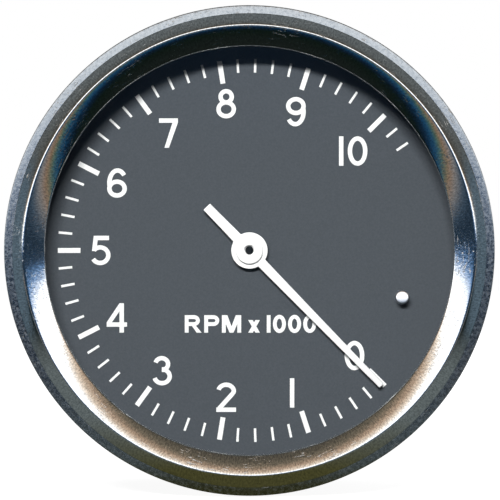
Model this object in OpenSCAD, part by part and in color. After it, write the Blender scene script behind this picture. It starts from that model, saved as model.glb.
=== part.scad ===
// Electronic tachometer for an 80 mm panel hole: chromed bezel, 0 to 10 dial, stepper
// movement, circuit board, sealed can and a clamp strap with two thumb nuts.
// The dial faces -Y, +Z is up and +X is right. The origin is on the axis, in the plane
// of the panel's front face. Depths below are measured from that plane.

/* [Bezel] */
// Outside diameter of the bezel rim
bezel_od = 86; // [71:0.5:104]
// Thickness of the bezel sheet
bezel_sheet = 0.8; // [0.6:0.02:1]
// Height of the bezel crest above the panel
crest_h = 9; // [8.2:0.1:11]
// Distance from the rim in to the crest
crest_inset = 3.65; // [3.3:0.05:4.4]
// Distance from the rim in to the groove outside the crest
groove_inset = 1.26; // [1.1:0.02:1.6]
// Height of the skirt below the rounded shoulder
shoulder_h = 6.3; // [5:0.1:7]
// Distance from the rim in to the lip round the lens
lip_inset = 7.1; // [6.4:0.1:8.6]
// Height of the lip above the panel
lip_h = 7.4; // [6.8:0.1:7.8]
// How much steeper the face is at the lip than on average, in degrees
face_bow = 6; // [5:0.5:11]
// Width of the edge rolled in behind the case flange
roll_w = 1.1; // [0.9:0.05:1.4]

/* [Lens and dial] */
// Thickness of the glass
lens_t = 2; // [1.5:0.1:2.6]
// Depth of the dial face behind the panel face
dial_depth = 1.5; // [1:0.1:3]
// Thickness of the dial plate
dial_t = 0.8; // [0.5:0.1:1.2]
// Distance from the lip in to the outer ends of the ticks
tick_inset = 2; // [1.4:0.1:3]
// Length and width of the long ticks
major_tick = [4, 0.87];
// Length and width of the short ticks
minor_tick = [2.4, 0.42];
// Height of the numerals
numeral_h = 5.2; // [4:0.1:6.4]
// Stroke width of the numerals
numeral_stroke = 0.78; // [0.5:0.02:1]
// Distance from the long ticks in to the middle of the numerals
numeral_inset = 3.6; // [3.2:0.1:5]
// Height of the letters in the legend
legend_h = 3.1; // [2.4:0.1:3.8]
// Distance of the legend below the centre
legend_drop = 13; // [11:0.5:15]
// Direction of zero, anticlockwise from three o'clock
zero_angle = -45; // [-60:1:-30]
// Clockwise angle for each thousand
step_angle = 27; // [24:0.5:28]

/* [Pointer] */
// Space between the dial face and the blade
pointer_gap = 1.2; // [1:0.1:1.8]
// Thickness of the blade
blade_t = 0.5; // [0.3:0.05:0.8]
// Distance from the ticks' outer ends in to the tip
tip_inset = 0.5; // [0.2:0.1:2]
// Width of the blade at the hub
blade_w = 1.57; // [1:0.05:2.2]
// Width of the blade at the tip
tip_w = 1.05; // [0.6:0.05:1.5]
// Length of the tail from the centre
tail_len = 10.8; // [8:0.1:14]
// Width of the tail
tail_w = 1.67; // [1:0.05:2.4]
// Diameter of the pointer's disc
hub_d = 6.4; // [5.2:0.1:8]
// Diameter of the raised boss
boss_d = 4.8; // [3.6:0.1:5]
// Diameter of the recess in the boss
recess_d = 1.9; // [1.86:0.02:2.6]
// Diameter of the spindle
spindle_d = 1.5; // [1.2:0.05:1.8]
// Direction of the resting pointer, anticlockwise from three o'clock
rest_angle = -45.7; // [-47:0.1:-44]
// Diameter of the stop pin
stop_d = 2.2; // [1.6:0.1:2.8]
// Distance of the stop pin from the tick's outer ends
stop_inset = 5.7; // [4:0.1:7]
// Direction of the stop pin
stop_angle = -17; // [-18:1:-12]

/* [Case] */
// Depth of the case behind the panel face
case_depth = 48; // [40:1:60]
// Thickness of the case wall
case_wall = 1; // [0.8:0.05:1.2]
// Length of the land that fits the panel hole
spigot_len = 10; // [9:0.5:13]
// Step in from the land to the case body
land_step = 0.75; // [0.5:0.05:0.9]
// Thickness of the flange under the bezel
flange_t = 1.2; // [1:0.1:1.5]
// Thickness of the rear cover
cover_t = 2; // [1.5:0.1:3]
// Thickness of the rear gasket
gasket_t = 0.4; // [0.3:0.1:1]
// Width of the case's turned-in rear edge
rear_rim_w = 6; // [5.5:0.1:7]
// Thread diameter of the cover screws
cover_screw_d = 3; // [2.5:0.1:3.6]
// Bore of the lead grommet
grommet_bore_d = 6; // [4:0.1:7.2]
// Distance of grommet and selector in from the case wall
rear_fitting_inset = 18; // [16:0.5:20]

/* [Movement] */
// Thickness of the chassis tray
tray_t = 1.5; // [1.2:0.1:2]
// Thickness of the motor's front plate
plate_t = 2; // [1.6:0.1:2.6]
// Module of the gears
gear_module = 0.3; // [0.25:0.01:0.36]
// Teeth on each wheel
wheel_teeth = 60;
// Teeth on each pinion
pinion_teeth = 10;
// Thickness of each wheel
wheel_t = 1; // [0.8:0.05:1.2]
// Diameter of the small arbors
arbor_d = 0.9; // [0.7:0.05:1.1]
// Diameter of the rotor magnet
magnet_d = 5.4; // [4.4:0.1:6.4]
// Length of the rotor magnet
magnet_len = 4.6; // [4:0.1:5.5]
// Depth of the circuit board's front face behind the panel face
board_depth = 24; // [22:0.5:28]
// Thickness of the circuit board
board_t = 1.6; // [1:0.2:2.4]

/* [Clamp] */
// Width of the clamp strap
strap_w = 16; // [12:0.5:20]
// Thickness of the clamp strap
strap_t = 1.6; // [1.2:0.05:1.9]
// Free space between the strap's feet and the panel face
grip_max = 14; // [13.2:0.1:17]
// Travel of the strap as the nuts are tightened
strap_travel = 12.5; // [10:0.5:12.8]
// Thread diameter of the studs
stud_d = 4; // [3.4:0.1:4.8]
// Distance of the studs in from the case wall
stud_inset = 13; // [11:0.5:14]
// Diameter of the knurled thumb nuts
thumb_nut_d = 12; // [10:0.5:14.5]
// Thickness of the thumb nuts
thumb_nut_t = 6; // [5:0.5:8]

/* [Hidden] */
$fn = 96;
fit = 0.05;
bezel_r = bezel_od / 2;
roll_gap = 0.35;
flange_r = bezel_r - bezel_sheet - roll_gap;
roll_edge_r = flange_r - roll_w;
shoulder_r = roll_edge_r - 0.15;
spigot_r = shoulder_r - 0.85;
relief_r = spigot_r + 0.1;
land_in_r = spigot_r - case_wall;
body_r = spigot_r - land_step;
body_in_r = body_r - case_wall;
ledge_z = -(spigot_len - 0.8);
lip_r = bezel_r - lip_inset;
spacer_r = land_in_r - 0.45;
spacer_in_r = lip_r + 0.4;
lens_r = spacer_r - 0.7;
lens_top = lip_h - bezel_sheet - 0.4;
lens_z = lens_top - lens_t;
dial_z = -dial_depth;
tray_top = dial_z - dial_t;
tray_z = tray_top - tray_t;
tray_r = land_in_r - 0.15;
print_t = 0.05;
tick_r = lip_r - tick_inset;
numeral_r = tick_r - major_tick[0] - numeral_inset;
// pointer levels
blade_z = dial_z + pointer_gap;
boss_h = 0.6;
spindle_r = spindle_d / 2;
tip_r = tick_r - tip_inset;
stop_r = tick_r - stop_inset;
// gear train: two equal stages, arbors at the corners of a triangle
centre_dist = gear_module * (wheel_teeth + pinion_teeth) / 2;
arbor_pos = centre_dist * [cos(210), sin(210)];
rotor_pos = [0, -centre_dist];
plate_z = tray_z - plate_t;
wheel_tip_r = gear_module * (wheel_teeth / 2 + 1 - 0.4);
out_wheel_z = plate_z - 0.6 - wheel_t;
mid_wheel_z = out_wheel_z - 0.8 - wheel_t;
pinion_len = wheel_t + 1;
mid_pinion_z = mid_wheel_z + wheel_t;
rotor_pinion_z = mid_wheel_z - 0.8;
magnet_z = rotor_pinion_z - 0.4 - magnet_len;
motor_floor_z = magnet_z - 0.6;
motor_floor_t = 1.4;
motor_z = motor_floor_z - motor_floor_t;
arbor_r = arbor_d / 2;
magnet_r = magnet_d / 2;
stator_z = magnet_z + magnet_len / 2 - 0.6;
coil_x = 8.5;
coil_y = rotor_pos[1] - 7.6;
coil_len = 7;
coil_r = 2.6;
leg_w = 2.1;
stator_near = rotor_pos[1] + 3;
stator_far = rotor_pos[1] - 13.2;
motor_wall = 1.2;
// circuit board
board_z = -board_depth - board_t;
board_r = body_in_r - 4;
pillar_pcr = board_r - 5;
pillar_angles = [40, 140, 220, 320];
pillar_af = 5;
// rear fittings
cover_top = -case_depth - gasket_t;
cover_z = cover_top - cover_t;
cover_r = body_r - 0.3;
cover_screw_pcr = body_in_r - 2.5;
cover_screw_r = cover_screw_d / 2;
fitting_y = body_in_r - rear_fitting_inset;
grommet_bore_r = grommet_bore_d / 2;
grommet_neck_r = grommet_bore_r + 1.5;
selector_bush_r = 3.5;
selector_shaft_r = 1.5;
stud_x = body_in_r - stud_inset;
stud_r = stud_d / 2;
stud_nut_t = 3.2;
bridge_top = cover_z - stud_nut_t - 0.4 - strap_travel;
bridge_z = bridge_top - strap_t;
washer_t = 1;
nut_top = bridge_z - washer_t;
nut_z = nut_top - thumb_nut_t;
stud_end = nut_z - 4.5;
leg_in = spigot_r + 0.45;
strap_bend_r = 3;

// Turns the drawing frame, with z towards the viewer, into the part's frame
module front() { rotate([90, 0, 0]) children(); }

// A ring between two heights
module ring(ro, ri, z0, z1) {
    translate([0, 0, z0]) difference() {
        cylinder(r = ro, h = z1 - z0);
        translate([0, 0, -1]) cylinder(r = ri, h = z1 - z0 + 2);
    }
}

module disc(r, z0, z1) { translate([0, 0, z0]) cylinder(r = r, h = z1 - z0); }

module hexagon(af, z0, z1) {
    translate([0, 0, z0]) cylinder(r = af / sqrt(3), h = z1 - z0, $fn = 6);
}

// A box centred on x and y
module block(size, z0, z1) {
    translate([-size[0] / 2, -size[1] / 2, z0]) cube([size[0], size[1], z1 - z0]);
}

// Points of an elliptical arc, of a quadratic curve, and of a path shifted sideways
function arc(c, rx, ry, a0, a1, n) = [for (i = [0:n])
    let (a = a0 + (a1 - a0) * i / n) [c[0] + rx * cos(a), c[1] + ry * sin(a)]];
function curve(p, q, r, n) = [for (i = [0:n])
    let (t = i / n) (1 - t) * (1 - t) * p + 2 * t * (1 - t) * q + t * t * r];
function unit(v) = v / norm(v);
function heading(p, i) = unit(p[min(i + 1, len(p) - 1)] - p[max(i - 1, 0)]);
function beside(p, d) = [for (i = [0:len(p) - 1])
    let (h = heading(p, i)) p[i] + d * [-h[1], h[0]]];
function back(p) = [for (i = [len(p) - 1:-1:0]) p[i]];

// A band of constant width along an open path
module stroke(p, w) { polygon(concat(beside(p, w / 2), back(beside(p, -w / 2)))); }

// Bezel outline from the rolled edge round the skirt and crest to the lip, outer face
bend = bezel_sheet + 0.2;
groove_pt = [bezel_r - groove_inset, shoulder_h + bend * 0.97];
crest_c = [bezel_r - crest_inset, crest_h - bend];
flank_end = [lip_r + 0.11, lip_h];
face_mean = atan2(crest_h - lip_h, crest_c[0] - flank_end[0]);
crest_slope = face_mean - face_bow;
lip_slope = face_mean + face_bow;
crest_in = arc(crest_c, bend, bend, 46, 90 + crest_slope, 10);
crest_out = crest_in[0];
// where the tangents at the crest and at the lip meet
function meet(p, a, q, b) = let (d = q - p, k = sin(b) * cos(a) - cos(b) * sin(a))
    p - [cos(a), sin(a)] * (d[1] * cos(b) - d[0] * sin(b)) / k;
face_pt = meet(crest_in[10], crest_slope, flank_end, lip_slope);
outer_path = concat(
    [[roll_edge_r, 0]],
    arc([bezel_r - bend - 0.1, bend + 0.1], bend + 0.1, bend + 0.1, -90, 0, 6),
    arc([bezel_r - bend, shoulder_h], bend, bend, 0, 96, 8),
    curve(groove_pt, (groove_pt + crest_out) / 2 + [0.14, 0.14], crest_out, 6),
    crest_in,
    curve(crest_in[10], face_pt, flank_end, 10)
);
nose = bezel_sheet / 2;
inner_path = beside(outer_path, bezel_sheet);
last = len(outer_path) - 1;
nose_c = (outer_path[last] + inner_path[last]) / 2;
nose_a = atan2(outer_path[last][1] - nose_c[1], outer_path[last][0] - nose_c[0]);
under_lip = inner_path[last];
under_crest = beside([crest_in[10], flank_end], bezel_sheet)[0];
function underside(r) = under_lip[1]
    + (r - under_lip[0]) * (under_crest[1] - under_lip[1]) / (under_crest[0] - under_lip[0]);

module bezel() {
    color("silver") front() rotate_extrude() polygon(concat(
        outer_path,
        [for (k = [1:5]) nose_c + nose * [cos(nose_a + k * 30), sin(nose_a + k * 30)]],
        back([for (i = [1:last]) inner_path[i]]),
        [[roll_edge_r, bezel_sheet]]
    ));
}

module glazing_seal() {
    in_r = under_lip[0] + 0.1;
    out_r = lens_r + 1.1;
    gap = 0.12;
    color([0.08, 0.08, 0.08]) front() rotate_extrude() polygon([
        [in_r, lens_top], [lens_r + fit, lens_top], [lens_r + fit, lens_z + 0.2],
        [out_r, lens_z + 0.2], [out_r, underside(out_r) - gap], [in_r, underside(in_r) - gap]
    ]);
}

module lens() { color([0.85, 0.92, 0.95, 0.25]) front() disc(lens_r, lens_z, lens_top); }

lamp_angles = [45, 135, 225, 315];
lamp = [3.2, 1.2, 1.8];

module spacer_ring() {
    color([0.07, 0.07, 0.08]) front() difference() {
        ring(spacer_r, spacer_in_r, dial_z, lens_z);
        for (a = lamp_angles) rotate([0, 0, a])
            translate([spacer_in_r - 2, -lamp[0] / 2 - 0.1, dial_z + 1])
                cube([2 + lamp[1] + 0.1, lamp[0] + 0.2, lamp[2]]);
    }
}

module dial_lamps() {
    color([0.95, 0.93, 0.8]) front() for (a = lamp_angles) rotate([0, 0, a])
        translate([spacer_in_r, -lamp[0] / 2, dial_z + 1]) cube([lamp[1], lamp[0], lamp[2]]);
}

module dial_plate() {
    color([0.33, 0.35, 0.37]) front() difference() {
        disc(spacer_r, tray_top, dial_z);
        disc(spindle_r + 0.6, tray_top - 1, dial_z + 1);
        rotate([0, 0, stop_angle]) translate([stop_r, 0, 0])
            disc(stop_d / 2 + 0.235, tray_top - 1, dial_z + 1);
    }
}

// Numerals drawn as strokes, one unit high and centred
s = numeral_stroke / numeral_h;
top = 0.5 - s / 2;
function low_bowl(a0, a1) = arc([0, -0.19], 0.335 - s / 2, top - 0.19, a0, a1, 20);
module bowl_ring(c, rx, ry) {
    difference() {
        polygon(arc(c, rx + s / 2, ry + s / 2, 0, 350, 35));
        polygon(arc(c, rx - s / 2, ry - s / 2, 0, 350, 35));
    }
}
module six() {
    bowl_ring([0, -0.19], 0.335 - s / 2, top - 0.19);
    stroke(arc([0.02, 0], 0.355 - s / 2, top, 38, 200, 18), s);
}
module numeral(n) {
    half = 0.335 - s / 2;
    if (n == 0) bowl_ring([0, 0], half, top);
    if (n == 1) square([s, 1], center = true);
    if (n == 2) {
        stroke(concat(arc([0, 0.21], half, top - 0.21, 168, -8, 16),
            [[half - 0.06, 0.1], [-half + 0.02, -top + 0.04]]), s);
        translate([-0.335, -0.5]) square([0.67, s]);
    }
    if (n == 3) {
        stroke(arc([-0.01, 0.225], half - 0.045, top - 0.225, 165, -88, 18), s);
        stroke(low_bowl(92, -165), s);
    }
    if (n == 4) {
        translate([0.16 - s / 2, -0.5]) square([s, 1]);
        translate([-0.35, -0.3]) square([0.69, s]);
        polygon([[-0.35, -0.3 + s], [-0.35, -0.3 + s * 0.9], [-0.35 + s * 1.1, -0.3 + s * 0.9],
            [0.16, 0.34], [0.16, 0.5], [0.16 - s / 2, 0.5]]);
    }
    if (n == 5) {
        translate([-0.22, 0.5 - s]) square([0.5, s]);
        polygon([[-0.24, 0.5], [-0.24 + s, 0.5], [-0.3 + s, -0.02], [-0.3, -0.02]]);
        stroke(arc([-0.02, -0.16], half + 0.015, top - 0.16, 142, -150, 20), s);
    }
    if (n == 6) six();
    if (n == 7) {
        translate([-0.32, 0.5 - s]) square([0.64, s]);
        polygon([[0.32 - s * 1.1, 0.5 - s * 0.6], [0.32, 0.5 - s], [-0.06 + s / 2, -0.5],
            [-0.06 - s / 2, -0.5]]);
    }
    if (n == 8) {
        bowl_ring([0, 0.235], 0.19, top - 0.235);
        bowl_ring([0, -0.19], half, top - 0.19);
    }
    if (n == 9) rotate([0, 0, 180]) six();
}

// Legend letters, one unit high, with their left edge at zero
k = 0.22;
module letter_p() {
    square([k, 1]);
    stroke(concat([[0, 1 - k / 2]], arc([0.52, 0.69], 0.23, 0.31 - k / 2, 90, -90, 12),
        [[0, 0.38 + k / 2]]), k);
}
module letter_r() {
    letter_p();
    polygon([[0.36, 0.45], [0.6, 0.45], [0.96, 0], [0.68, 0]]);
}
module letter_m() {
    square([k, 1]);
    translate([1.1 - k, 0]) square([k, 1]);
    polygon([[0, 1], [k * 1.4, 1], [0.55, 0.36], [1.1 - k * 1.4, 1], [1.1, 1], [0.66, 0], [0.44, 0]]);
}
module letter_x() {
    polygon([[0, 0], [0.26, 0], [0.67, 0.72], [0.41, 0.72]]);
    polygon([[0.41, 0], [0.67, 0], [0.26, 0.72], [0, 0.72]]);
}
module letter_o() {
    difference() {
        polygon(arc([0.3725, 0.5], 0.3725, 0.5, 0, 350, 35));
        polygon(arc([0.3725, 0.5], 0.3725 - k, 0.5 - k * 0.75, 0, 350, 35));
    }
}
module legend() {
    translate([-3.69, -0.5]) {
        letter_r();
        translate([1.11, 0]) letter_p();
        translate([2.12, 0]) letter_m();
        translate([3.62, 0]) letter_x();
        translate([4.68, 0]) square([k, 1]);
        for (i = [0:2]) translate([5.03 + i * 0.865, 0]) letter_o();
    }
}
// A few numerals are set a little off their ticks to look evenly spaced
function aside(n) = n == 1 ? [-0.57, -0.2] : n == 7 ? [1.13, -0.5] : n == 9 ? [0.1, -0.45]
    : n == 10 ? [-0.9, -1] : [0, 0];
module flat_print(z) { translate([0, 0, z]) linear_extrude(print_t) children(); }

module dial_print() {
    color("white") front() {
        for (i = [0:52]) rotate([0, 0, zero_angle - i * step_angle / 5]) {
            t = i % 5 == 0 ? major_tick : minor_tick;
            translate([tick_r - t[0] / 2, 0, dial_z + print_t / 2])
                cube([t[0], t[1], print_t], center = true);
        }
        for (n = [0:10]) let (a = zero_angle - n * step_angle, m = n == 10 ? [1, 0] : [n])
            flat_print(dial_z) for (j = [0:len(m) - 1])
                translate([numeral_r * cos(a) + aside(n)[0] + (len(m) == 2 ? (j - 0.5) * 2.9 : 0),
                    numeral_r * sin(a) + aside(n)[1]]) scale(numeral_h) numeral(m[j]);
        flat_print(dial_z) translate([0, -legend_drop]) scale(legend_h) legend();
    }
}

module stop_pin() {
    r = stop_d / 2;
    h = blade_z + blade_t + 0.6;
    color("gainsboro") front() rotate([0, 0, stop_angle]) translate([stop_r, 0, 0])
        rotate_extrude() polygon(concat([[0, tray_z], [r, tray_z]],
            arc([0, h], r, 0.5, 0, 90, 10)));
}

module pointer() {
    color("white") front() rotate([0, 0, rest_angle]) difference() {
        union() {
            disc(hub_d / 2, blade_z, blade_z + blade_t);
            translate([0, 0, blade_z]) linear_extrude(blade_t) polygon([
                [0, -blade_w / 2], [tip_r, -tip_w / 2], [tip_r, tip_w / 2], [0, blade_w / 2]]);
            translate([-tail_len, -tail_w / 2, blade_z]) cube([tail_len, tail_w, blade_t]);
        }
        disc(spindle_r, blade_z - 1, blade_z + blade_t + 1);
    }
}

module pointer_boss() {
    color("ivory") front() {
        ring(boss_d / 2, recess_d / 2, blade_z + blade_t, blade_z + blade_t + boss_h);
        ring(spindle_r + 0.85, spindle_r, blade_z - pointer_gap + 0.3, blade_z);
    }
}

// Spur gear outline with straight-sided roots and involute flanks
function inv_deg(a) = tan(a) * 180 / PI - a;
function half_angle(r, pitch, base, thick) = thick / pitch * 90 / PI + inv_deg(20)
    - inv_deg(acos(min(1, base / r)));
function gear_points(n, shift, root, tip, play) = let (
    pitch = gear_module * n / 2, base = pitch * cos(20),
    thick = gear_module * (PI / 2 + 2 * shift * tan(20)) - play,
    rs = [for (i = [0:3]) max(base, root) + (tip - max(base, root)) * i / 3],
    ha = [for (r = rs) half_angle(r, pitch, base, thick)]
) [for (t = [0:n - 1]) let (c = t * 360 / n)
    each concat([root * [cos(c - ha[0]), sin(c - ha[0])]],
        [for (i = [0:3]) rs[i] * [cos(c - ha[i]), sin(c - ha[i])]],
        [for (i = [3:-1:0]) rs[i] * [cos(c + ha[i]), sin(c + ha[i])]],
        [root * [cos(c + ha[0]), sin(c + ha[0])]])];
module wheel() {
    root = gear_module * (wheel_teeth / 2 - 0.4 - 1.25);
    linear_extrude(wheel_t) difference() {
        polygon(gear_points(wheel_teeth, -0.4, root, wheel_tip_r, gear_module / 8));
        for (a = [60:60:360]) rotate(a) translate([root * 0.55, 0]) circle(r = root * 0.17);
    }
}
module pinion() {
    root = gear_module * (pinion_teeth / 2 + 0.4 - 1.3);
    tip = gear_module * (pinion_teeth / 2 + 1.15);
    linear_extrude(pinion_len)
        polygon(gear_points(pinion_teeth, 0.4, root, tip, gear_module / 8));
}

module pointer_spindle() {
    color("silver") front() disc(spindle_r, motor_z + 0.4, blade_z + blade_t + 0.05);
}

module output_wheel() {
    color("gold") front() difference() {
        translate([0, 0, out_wheel_z]) wheel();
        disc(spindle_r, out_wheel_z - 1, out_wheel_z + wheel_t + 1);
    }
}

module intermediate_wheel() {
    color("gold") front() translate(arbor_pos) difference() {
        translate([0, 0, mid_wheel_z]) wheel();
        disc(arbor_r, mid_wheel_z - 1, mid_wheel_z + wheel_t + 1);
    }
}

module intermediate_pinion() {
    color("silver") front() translate(arbor_pos) {
        translate([0, 0, mid_pinion_z]) rotate([0, 0, 12]) pinion();
        disc(arbor_r, motor_z + 0.4, plate_z + plate_t - 0.4);
    }
}

module rotor_pinion() {
    color("silver") front() translate(rotor_pos) {
        translate([0, 0, rotor_pinion_z]) rotate([0, 0, 24]) pinion();
        disc(arbor_r, motor_z + 0.4, plate_z + plate_t - 0.4);
    }
}

module rotor_magnet() {
    color([0.25, 0.25, 0.27]) front() translate(rotor_pos)
        ring(magnet_r, arbor_r, magnet_z, magnet_z + magnet_len);
}

module stator() {
    color("slategray") front() difference() {
        translate([-coil_x - 2, stator_far, stator_z])
            cube([2 * coil_x + 4, stator_near - stator_far, 1.2]);
        translate(rotor_pos) disc(magnet_r + 0.5, stator_z - 1, stator_z + 3);
        // windows that leave a leg through each coil
        for (sx = [-1, 1], w = [coil_x - 3.2, coil_x + 3.2])
            translate([sx * w, coil_y, 0])
                block([6.4 - leg_w, coil_len + 0.2], stator_z - 1, stator_z + 3);
    }
}

module coil(x) {
    color([0.72, 0.38, 0.18]) front() translate([x, coil_y, stator_z + 0.6])
        rotate([90, 0, 0]) difference() {
            cylinder(r = coil_r, h = coil_len, center = true);
            cube([leg_w + 0.1, 1.3, coil_len + 2], center = true);
        }
}
module coil_left() { coil(-coil_x); }
module coil_right() { coil(coil_x); }

// Outline of the motor, grown by a wall thickness
module motor_outline(g) {
    r = wheel_tip_r + 1;
    circle(r = r + g);
    translate(arbor_pos) circle(r = r + g);
    translate([-coil_x - 3 - g, stator_far - 0.6 - g])
        square([2 * coil_x + 6 + 2 * g, stator_near - stator_far + 1.2 + g]);
    translate([arbor_pos[0], stator_far + 6]) square([-arbor_pos[0] + r * 0.7, -stator_far - 6]);
}

motor_ear = [[wheel_tip_r + 4.8, 0], [arbor_pos[0] - wheel_tip_r - 4.8, arbor_pos[1]],
    [coil_x + 7, stator_far + 4], [-coil_x - 7, stator_far + 4]];

module motor_plate() {
    color([0.9, 0.9, 0.86]) front() difference() {
        union() {
            translate([0, 0, plate_z]) linear_extrude(plate_t) motor_outline(motor_wall);
            for (p = motor_ear) translate(p) disc(2.4, plate_z, tray_z);
            translate([0, 0, plate_z]) linear_extrude(plate_t) {
                translate([0, -2.4]) square([motor_ear[0][0], 4.8]);
                translate([motor_ear[1][0], motor_ear[1][1] - 2.4]) square([8, 4.8]);
                translate([-coil_x - 7, stator_far + 1.6]) square([2 * coil_x + 14, 4.8]);
            }
        }
        disc(spindle_r + fit, plate_z - 1, tray_z + 1);
        for (p = [arbor_pos, rotor_pos]) translate(p)
            disc(arbor_r + fit, plate_z - 1, plate_z + plate_t - 0.3);
        for (p = motor_ear) translate(p) disc(0.95 + fit, plate_z - 1, tray_z + 1);
    }
}

module motor_case() {
    color([0.93, 0.93, 0.9]) front() difference() {
        union() {
            difference() {
                translate([0, 0, motor_z]) linear_extrude(plate_z - motor_z)
                    motor_outline(motor_wall);
                translate([0, 0, motor_floor_z]) linear_extrude(plate_z - motor_floor_z + 1)
                    motor_outline(0);
            }
            // posts that carry the stator
            for (sx = [-1, 1]) {
                translate([sx * coil_x, stator_far + 1, 0]) disc(0.9, motor_floor_z, stator_z);
                translate([sx * coil_x, stator_near - 2, 0]) disc(0.9, motor_floor_z, stator_z);
            }
        }
        disc(spindle_r + fit, motor_z + 0.3, plate_z);
        for (p = [arbor_pos, rotor_pos]) translate(p)
            disc(arbor_r + fit, motor_z + 0.3, plate_z);
    }
}

module screw(r, head_r, head_h, z_head, z_end) {
    // pan head towards the rear, shank running forward
    disc(r, z_head, z_end);
    difference() {
        disc(head_r, z_head - head_h, z_head);
        block([head_r * 3, head_r * 0.3], z_head - head_h - 1, z_head - head_h * 0.55);
    }
}

module motor_screws() {
    color("silver") front() for (p = motor_ear) translate(p)
        screw(0.95, 1.9, 1.3, plate_z, tray_top - 0.2);
}

pin_x = [-3.75, -1.25, 1.25, 3.75];
module motor_pins() {
    color("gold") front() for (x = pin_x) translate([x, stator_far + 1.4, 0])
        disc(0.35, board_z - 1, motor_z);
}

module chassis_tray() {
    color("lightsteelblue") front() difference() {
        union() {
            disc(tray_r, tray_z, tray_top);
            ring(tray_r, body_in_r - 0.9, ledge_z, tray_top);
        }
        disc(spindle_r + 0.45, tray_z - 1, tray_top + 1);
        rotate([0, 0, stop_angle]) translate([stop_r, 0, 0])
            disc(stop_d / 2, tray_z - 1, tray_top + 1);
        for (p = motor_ear) translate(p) disc(0.95 + fit, tray_z - 1, tray_top + 1);
        for (a = pillar_angles) rotate([0, 0, a]) translate([pillar_pcr, 0, 0])
            disc(1.5 + fit, tray_z - 1, tray_top + 1);
    }
}

module board_pillars() {
    color("silver") front() for (a = pillar_angles) rotate([0, 0, a])
        translate([pillar_pcr, 0, 0]) difference() {
            union() {
                hexagon(pillar_af, -board_depth, tray_z);
                disc(1.5, tray_z, tray_top - 0.1);
            }
            disc(1.25 + fit, -board_depth - 1, -board_depth + 7);
        }
}

module board_screws() {
    color("silver") front() for (a = pillar_angles) rotate([0, 0, a])
        translate([pillar_pcr, 0, 0]) screw(1.25, 2.5, 1.8, board_z, -board_depth + 6);
}

module circuit_board() {
    color("darkgreen") front() difference() {
        disc(board_r, board_z, -board_depth);
        for (a = pillar_angles) rotate([0, 0, a]) translate([pillar_pcr, 0, 0])
            disc(1.4, board_z - 1, -board_depth + 1);
        for (x = pin_x) translate([x, stator_far + 1.4, 0])
            disc(0.35 + fit, board_z - 1, -board_depth + 1);
        // notch for the lamp wiring
        translate([0, board_r, 0]) block([8, 6], board_z - 1, -board_depth + 1);
    }
}

module microcontroller() {
    color([0.12, 0.12, 0.13]) front() {
        translate([-2, 1, 0]) block([10, 10], board_z - 1.5, board_z - 0.1);
        for (i = [-4:4]) for (sx = [-1, 1])
            translate([-2 + sx * 5.6, 1 + i * 1.05, 0]) block([1.4, 0.4], board_z - 0.6, board_z);
    }
}

module voltage_regulator() {
    color([0.15, 0.15, 0.16]) front() translate([11, 0, 0]) {
        block([10, 9], board_z - 4.5, board_z);
        translate([0, 7.5, 0]) difference() {
            block([10, 6], board_z - 1.3, board_z);
            disc(1.8, board_z - 3, board_z + 1);
        }
        for (i = [-1:1]) translate([i * 2.54, -6.2, 0]) block([0.8, 3.6], board_z - 2.9, board_z - 2.1);
    }
}

module smoothing_capacitors() {
    color("midnightblue") front() for (p = [[-15, -4], [-15, 6.5]]) translate(p)
        difference() {
            disc(4, board_z - 11, board_z);
            ring(5, 3.7, board_z - 2.2, board_z - 1.4);
        }
}

module quartz_crystal() {
    color("gainsboro") front() translate([-2, -7.4, 0]) {
        block([7, 4.4], board_z - 3.5, board_z);
        for (sx = [-1, 1]) translate([sx * 3.5, 0, 0]) disc(2.2, board_z - 3.5, board_z);
    }
}

module terminal_header() {
    color("seagreen") front() translate([0, stator_far + 9.2, 0]) difference() {
        block([25, 8], board_z - 10, board_z);
        for (i = [-2:1:2]) translate([i * 5, 0, 0]) {
            disc(1.8, board_z - 11, board_z - 6);
            translate([0, -4, 0]) block([3.6, 4], board_z - 5, board_z - 1.4);
        }
    }
}

module case_shell() {
    color([0.16, 0.16, 0.17]) front() difference() {
        rotate_extrude() polygon([
            [land_in_r, bezel_sheet + flange_t], [flange_r, bezel_sheet + flange_t],
            [flange_r, bezel_sheet], [relief_r, bezel_sheet], [spigot_r, 0],
            [spigot_r, -spigot_len], [body_r, -spigot_len], [body_r, -case_depth],
            [body_r - rear_rim_w - case_wall, -case_depth],
            [body_r - rear_rim_w - case_wall, -case_depth + case_wall],
            [body_in_r, -case_depth + case_wall], [body_in_r, ledge_z], [land_in_r, ledge_z]
        ]);
        for (a = [45:90:315]) rotate([0, 0, a]) translate([cover_screw_pcr, 0, 0])
            disc(cover_screw_r + fit, -case_depth - 1, -case_depth + 4);
    }
}

module rear_gasket() {
    color([0.1, 0.1, 0.1]) front() difference() {
        ring(cover_r, body_r - rear_rim_w - case_wall, cover_top, -case_depth);
        for (a = [45:90:315]) rotate([0, 0, a]) translate([cover_screw_pcr, 0, 0])
            disc(cover_screw_r + 0.3, cover_top - 1, -case_depth + 1);
    }
}

module rear_cover() {
    color([0.2, 0.2, 0.21]) front() difference() {
        disc(cover_r, cover_z, cover_top);
        for (a = [45:90:315]) rotate([0, 0, a]) translate([cover_screw_pcr, 0, 0])
            disc(cover_screw_r + 0.2, cover_z - 1, cover_top + 1);
        for (sx = [-1, 1]) translate([sx * stud_x, 0, 0])
            disc(stud_r + fit, cover_z - 1, cover_top + 1);
        translate([0, -fitting_y, 0]) disc(grommet_neck_r, cover_z - 1, cover_top + 1);
        translate([0, fitting_y, 0]) disc(selector_bush_r + fit, cover_z - 1, cover_top + 1);
    }
}

module cover_screws() {
    color("silver") front() for (a = [45:90:315]) rotate([0, 0, a])
        translate([cover_screw_pcr, 0, 0])
            screw(cover_screw_r, cover_screw_r * 1.9, 2, cover_z, -case_depth + 6);
}

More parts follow.
